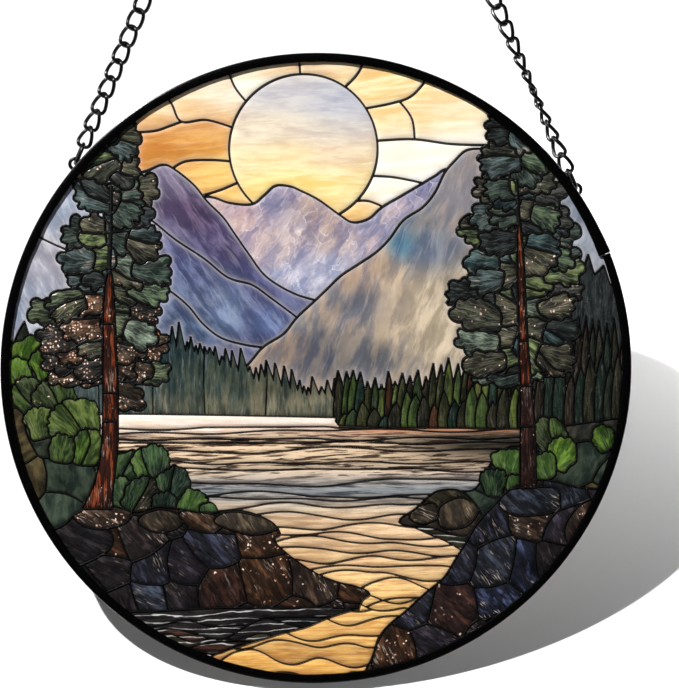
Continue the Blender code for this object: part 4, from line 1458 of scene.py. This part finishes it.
def add_reflections(made, colour, place, brushed):
    """Dark and light streaks on the lake below the far shore."""
    streaks = made.noise(brushed, (0.09, 1.5, 1), 3.0, 0.5)
    up = made.add("SeparateXYZ", {0: place}).outputs[1]
    band = made.product(made.ramp(up, -38.0, -32.0), made.ramp(up, -18.6, -22.0))
    colour = made.mix(made.product(made.ramp(streaks, 0.535, 0.565), band, 0.92), colour, INK)
    return made.mix(made.product(made.ramp(streaks, 0.48, 0.44), band, 0.9), colour, made.attribute("wash"))


def add_trees(made, colour, place):
    """Dark upright streaks in the far forest."""
    trees = made.noise(place, (0.7, 0.1, 1), 3.0, 0.6)
    return made.mix(made.product(made.ramp(trees, 0.5, 0.62), 0.6), colour, FAR_TREES)


def add_facets(made, colour, place, clouds):
    """Lighter and darker facets with pale cracks between them on the far peak."""
    bend = {"Vector": made.scaled(place, 0.22), "Scale": 1.0, "Detail": 3.0}
    bent = made.moved(place, made.scaled(made.add("TexNoise", bend).outputs["Color"], 9))
    inputs = {"Vector": made.scaled(bent, (0.22, 0.16, 1)), "Scale": 1.0}
    facets = made.add("TexVoronoi", inputs, voronoi_dimensions="2D").outputs["Color"]
    pick = made.add("SeparateColor", {0: facets}).outputs[0]
    colour = made.mix(made.ramp(pick, 0.5, 1.0, 0.0, 0.2), colour, LIGHT_FACET)
    colour = made.mix(made.ramp(pick, 0.45, 0.0, 0.0, 0.28), colour, DARK_FACET)
    cracks = made.add("TexVoronoi", inputs, voronoi_dimensions="2D", feature="DISTANCE_TO_EDGE")
    thin = made.ramp(cracks.outputs["Distance"], 0.05, 0.0)
    return made.mix(made.product(thin, made.ramp(clouds, 0.45, 0.6), 0.5), colour, PALE)


def glass(kind):
    """Glossy streaked glass: two tones brushed together, with what this kind of pane shows."""
    made = Nodes(f"{kind}_glass")
    long, wide = BRUSH[kind][:2]
    middle, contrast, fine, blotch, pale, dark, light = SHADING[kind]
    grain, place = made.attribute("grain"), made.place()
    sparkle, ripple, glint = made.add("SeparateXYZ", {0: made.attribute("effects")}).outputs
    swirl = made.noise(grain, (1 / long, 0.4 / wide, 1), 2.0)
    sway = made.add("CombineXYZ", {"Y": made.product(swirl, 2.2 * wide)}).outputs[0]
    brushed = made.moved(grain, sway)
    broad = made.noise(brushed, (1 / long, 0.5 / wide, 1), 5.0, 0.62)
    thin = made.noise(brushed, (2.6 / long, 1.8 / wide, 1), 4.0, 0.65)
    clouds = made.noise(grain, (0.16, 0.16, 1), 3.0)
    spread = 0.24 * (1.3 - contrast)
    blend = made.ramp(broad, middle - spread, middle + spread)
    colour = made.mix(blend, made.attribute("wash"), made.attribute("streak"))
    blotches = made.ramp(clouds, 0.32, 0.68, 1 - blotch, 1 + blotch)
    value = made.product(made.ramp(thin, 0.32, 0.68, 1 - fine, 1 + fine), blotches)
    rim = made.math("EXPONENT", made.product(made.attribute("edge", "Fac"), -2.2))
    if dark:
        value = made.product(value, made.math("MULTIPLY_ADD", rim, -dark, 1.0))
    grey = made.add("CombineColor", {0: value, 1: value, 2: value}).outputs[0]
    colour = made.mix(1.0, colour, grey, "MULTIPLY")
    height = made.product(thin, 0.35)
    if light:
        strands = made.noise(brushed, (1.6 / long, 2.4 / wide, 1), 2.0, 0.5)
        colour = made.mix(made.product(made.ramp(strands, 0.56, 0.7), light), colour, PALE)
    if pale:
        colour = made.mix(made.product(rim, pale), colour, PALE)
    if kind in VEINED:
        folds = veins(made, kind, brushed, ripple, clouds)
        *_, strength, sheen = VEINED[kind]
        colour = made.mix(made.product(folds, strength), colour, sheen)
        height = made.math("ADD", height, made.product(folds, 0.5))
    # Painted highlights in the base colour: sparkles and glints of light
    if kind in SPARKLING:
        colour = add_sparkles(made, colour, place, sparkle, clouds)
        colour = add_glints(made, colour, brushed, glint, clouds)
    if kind == "near_forest":
        colour = add_hatching(made, colour, place, clouds)
    if kind == "lake":
        colour = add_reflections(made, colour, place, brushed)
    if kind == "far_forest":
        colour = add_trees(made, colour, place)
    if kind == "far_peak":
        colour = add_facets(made, colour, place, clouds)
    bump = made.add("Bump", {"Strength": 0.25, "Distance": 0.0003, "Height": height})
    made.set(made.shader, {
        "Base Color": colour, "IOR": 1.5, "Normal": bump.outputs[0],
        "Roughness": made.ramp(thin, 0.3, 0.7, 0.16, 0.3),
    })
    return made.material


# Stage


# The backdrop: how far it reaches and how far behind the disc it starts, in metres
FLOOR_REACH = 0.6
FLOOR_GAP = 0.0006


def make_backdrop():
    """A pale floor that rises behind the disc from its lowest point, clear when seen from below."""
    low = Vector((0, rim_high.y + FLOOR_GAP, rim_low.z))
    rise = Vector((0, 1, 1)).normalized() * FLOOR_REACH
    across = Vector((FLOOR_REACH, 0, 0))
    corners = [low + across * x + rise * s for x, s in ((-1, -1), (1, -1), (1, 1), (-1, 1))]
    data = bpy.data.meshes.new("pale_floor")
    data.from_pydata(corners, [], [(0, 1, 2, 3)])
    floor = placed("pale_floor", data)
    made = Nodes("pale_floor")
    made.set(made.shader, {"Base Color": (0.86, 0.86, 0.86), "Roughness": 0.9, "Specular IOR Level": 0.1})
    clear = made.add("BsdfTransparent")
    seen = made.add("NewGeometry").outputs["Backfacing"]
    mixed = made.add("MixShader", {0: seen, 1: made.shader.outputs[0], 2: clear.outputs[0]})
    made.tree.links.new(mixed.outputs[0], made.tree.nodes["Material Output"].inputs[0])
    data.materials.append(made.material)


# The lights: name, direction, distance, size, power, and whether the glass reflects them
LIGHTS = (
    ("key_light", (0.7, 1, -1), 1.6, 0.025, 39.0, True),
    ("fill_light", (-0.3, 1, -0.1), 1.8, 1.2, 1.2, False),
    ("floor_light", (-0.84, -0.47, -0.27), 0.3, 0.12, 1.42, False),
)


def make_light(name, towards, distance, size, power, reflected):
    """A square soft light that shines on the disc's centre from a distance."""
    data = bpy.data.lights.new(name, "AREA")
    data.energy = power
    data.size = size
    direction = Vector(towards).normalized()
    lamp = placed(name, data, DISC_CENTRE - direction * distance, direction.to_track_quat("-Z", "Y"))
    lamp.visible_camera = False
    lamp.visible_glossy = reflected


# The camera: the image's size, the disc's centre and radius in its pixels, its distance in metres, and how
# far it stands to the left and above, in degrees
IMAGE_WIDTH = 679
IMAGE_HEIGHT = 688
DISC_PIXEL = (317.9, 369.9)
DISC_PIXELS = 315.5
CAMERA_DISTANCE = 0.9
CAMERA_TILT = (4.0, 4.0)


def make_camera():
    """A long lens before the disc, with the disc where the photo has it."""
    pixel = RIM_RADIUS * MM / DISC_PIXELS
    left, up = (math.radians(angle) for angle in CAMERA_TILT)
    back = Vector((-math.sin(left) * math.cos(up), -math.cos(left) * math.cos(up), math.sin(up)))
    across = Vector((0, 0, 1)).cross(back).normalized()
    upward = back.cross(across)
    target = DISC_CENTRE + across * (IMAGE_WIDTH / 2 - DISC_PIXEL[0]) * pixel
    target += upward * (DISC_PIXEL[1] - IMAGE_HEIGHT / 2) * pixel
    data = bpy.data.cameras.new("camera")
    data.lens = data.sensor_width * CAMERA_DISTANCE / (IMAGE_HEIGHT * pixel)
    place = target + back * CAMERA_DISTANCE
    bpy.context.scene.camera = placed("camera", data, place, back.to_track_quat("Z", "Y"))


# How bright the room is, as light and as seen in the glass
ROOM_LIGHT = 0.02
ROOM_GLOSS = 0.03


def make_world():
    """An even white room, seen as pure white behind the object."""
    world = bpy.data.worlds.new("room")
    world.use_nodes = True
    tree = world.node_tree
    ground = tree.nodes["Background"]
    ground.inputs[0].default_value = (1, 1, 1, 1)
    path = tree.nodes.new("ShaderNodeLightPath")
    strength = ROOM_LIGHT
    for ray, seen in (("Is Glossy Ray", ROOM_GLOSS), ("Is Camera Ray", 1.0)):
        step = tree.nodes.new("ShaderNodeMix")
        tree.links.new(path.outputs[ray], step.inputs["Factor"])
        if isinstance(strength, float):
            step.inputs[2].default_value = strength
        else:
            tree.links.new(strength, step.inputs[2])
        step.inputs[3].default_value = seen
        strength = step.outputs[0]
    tree.links.new(strength, ground.inputs[1])
    bpy.context.scene.world = world


bpy.context.scene.view_settings.view_transform = "Standard"
make_camera()
make_world()
make_backdrop()
for light in LIGHTS:
    make_light(*light)

listed, spots, lines = panes()
make_glass(listed)
make_lead(listed, spots, lines)
make_rim()
make_rings()
make_chain("left")
make_chain("right")
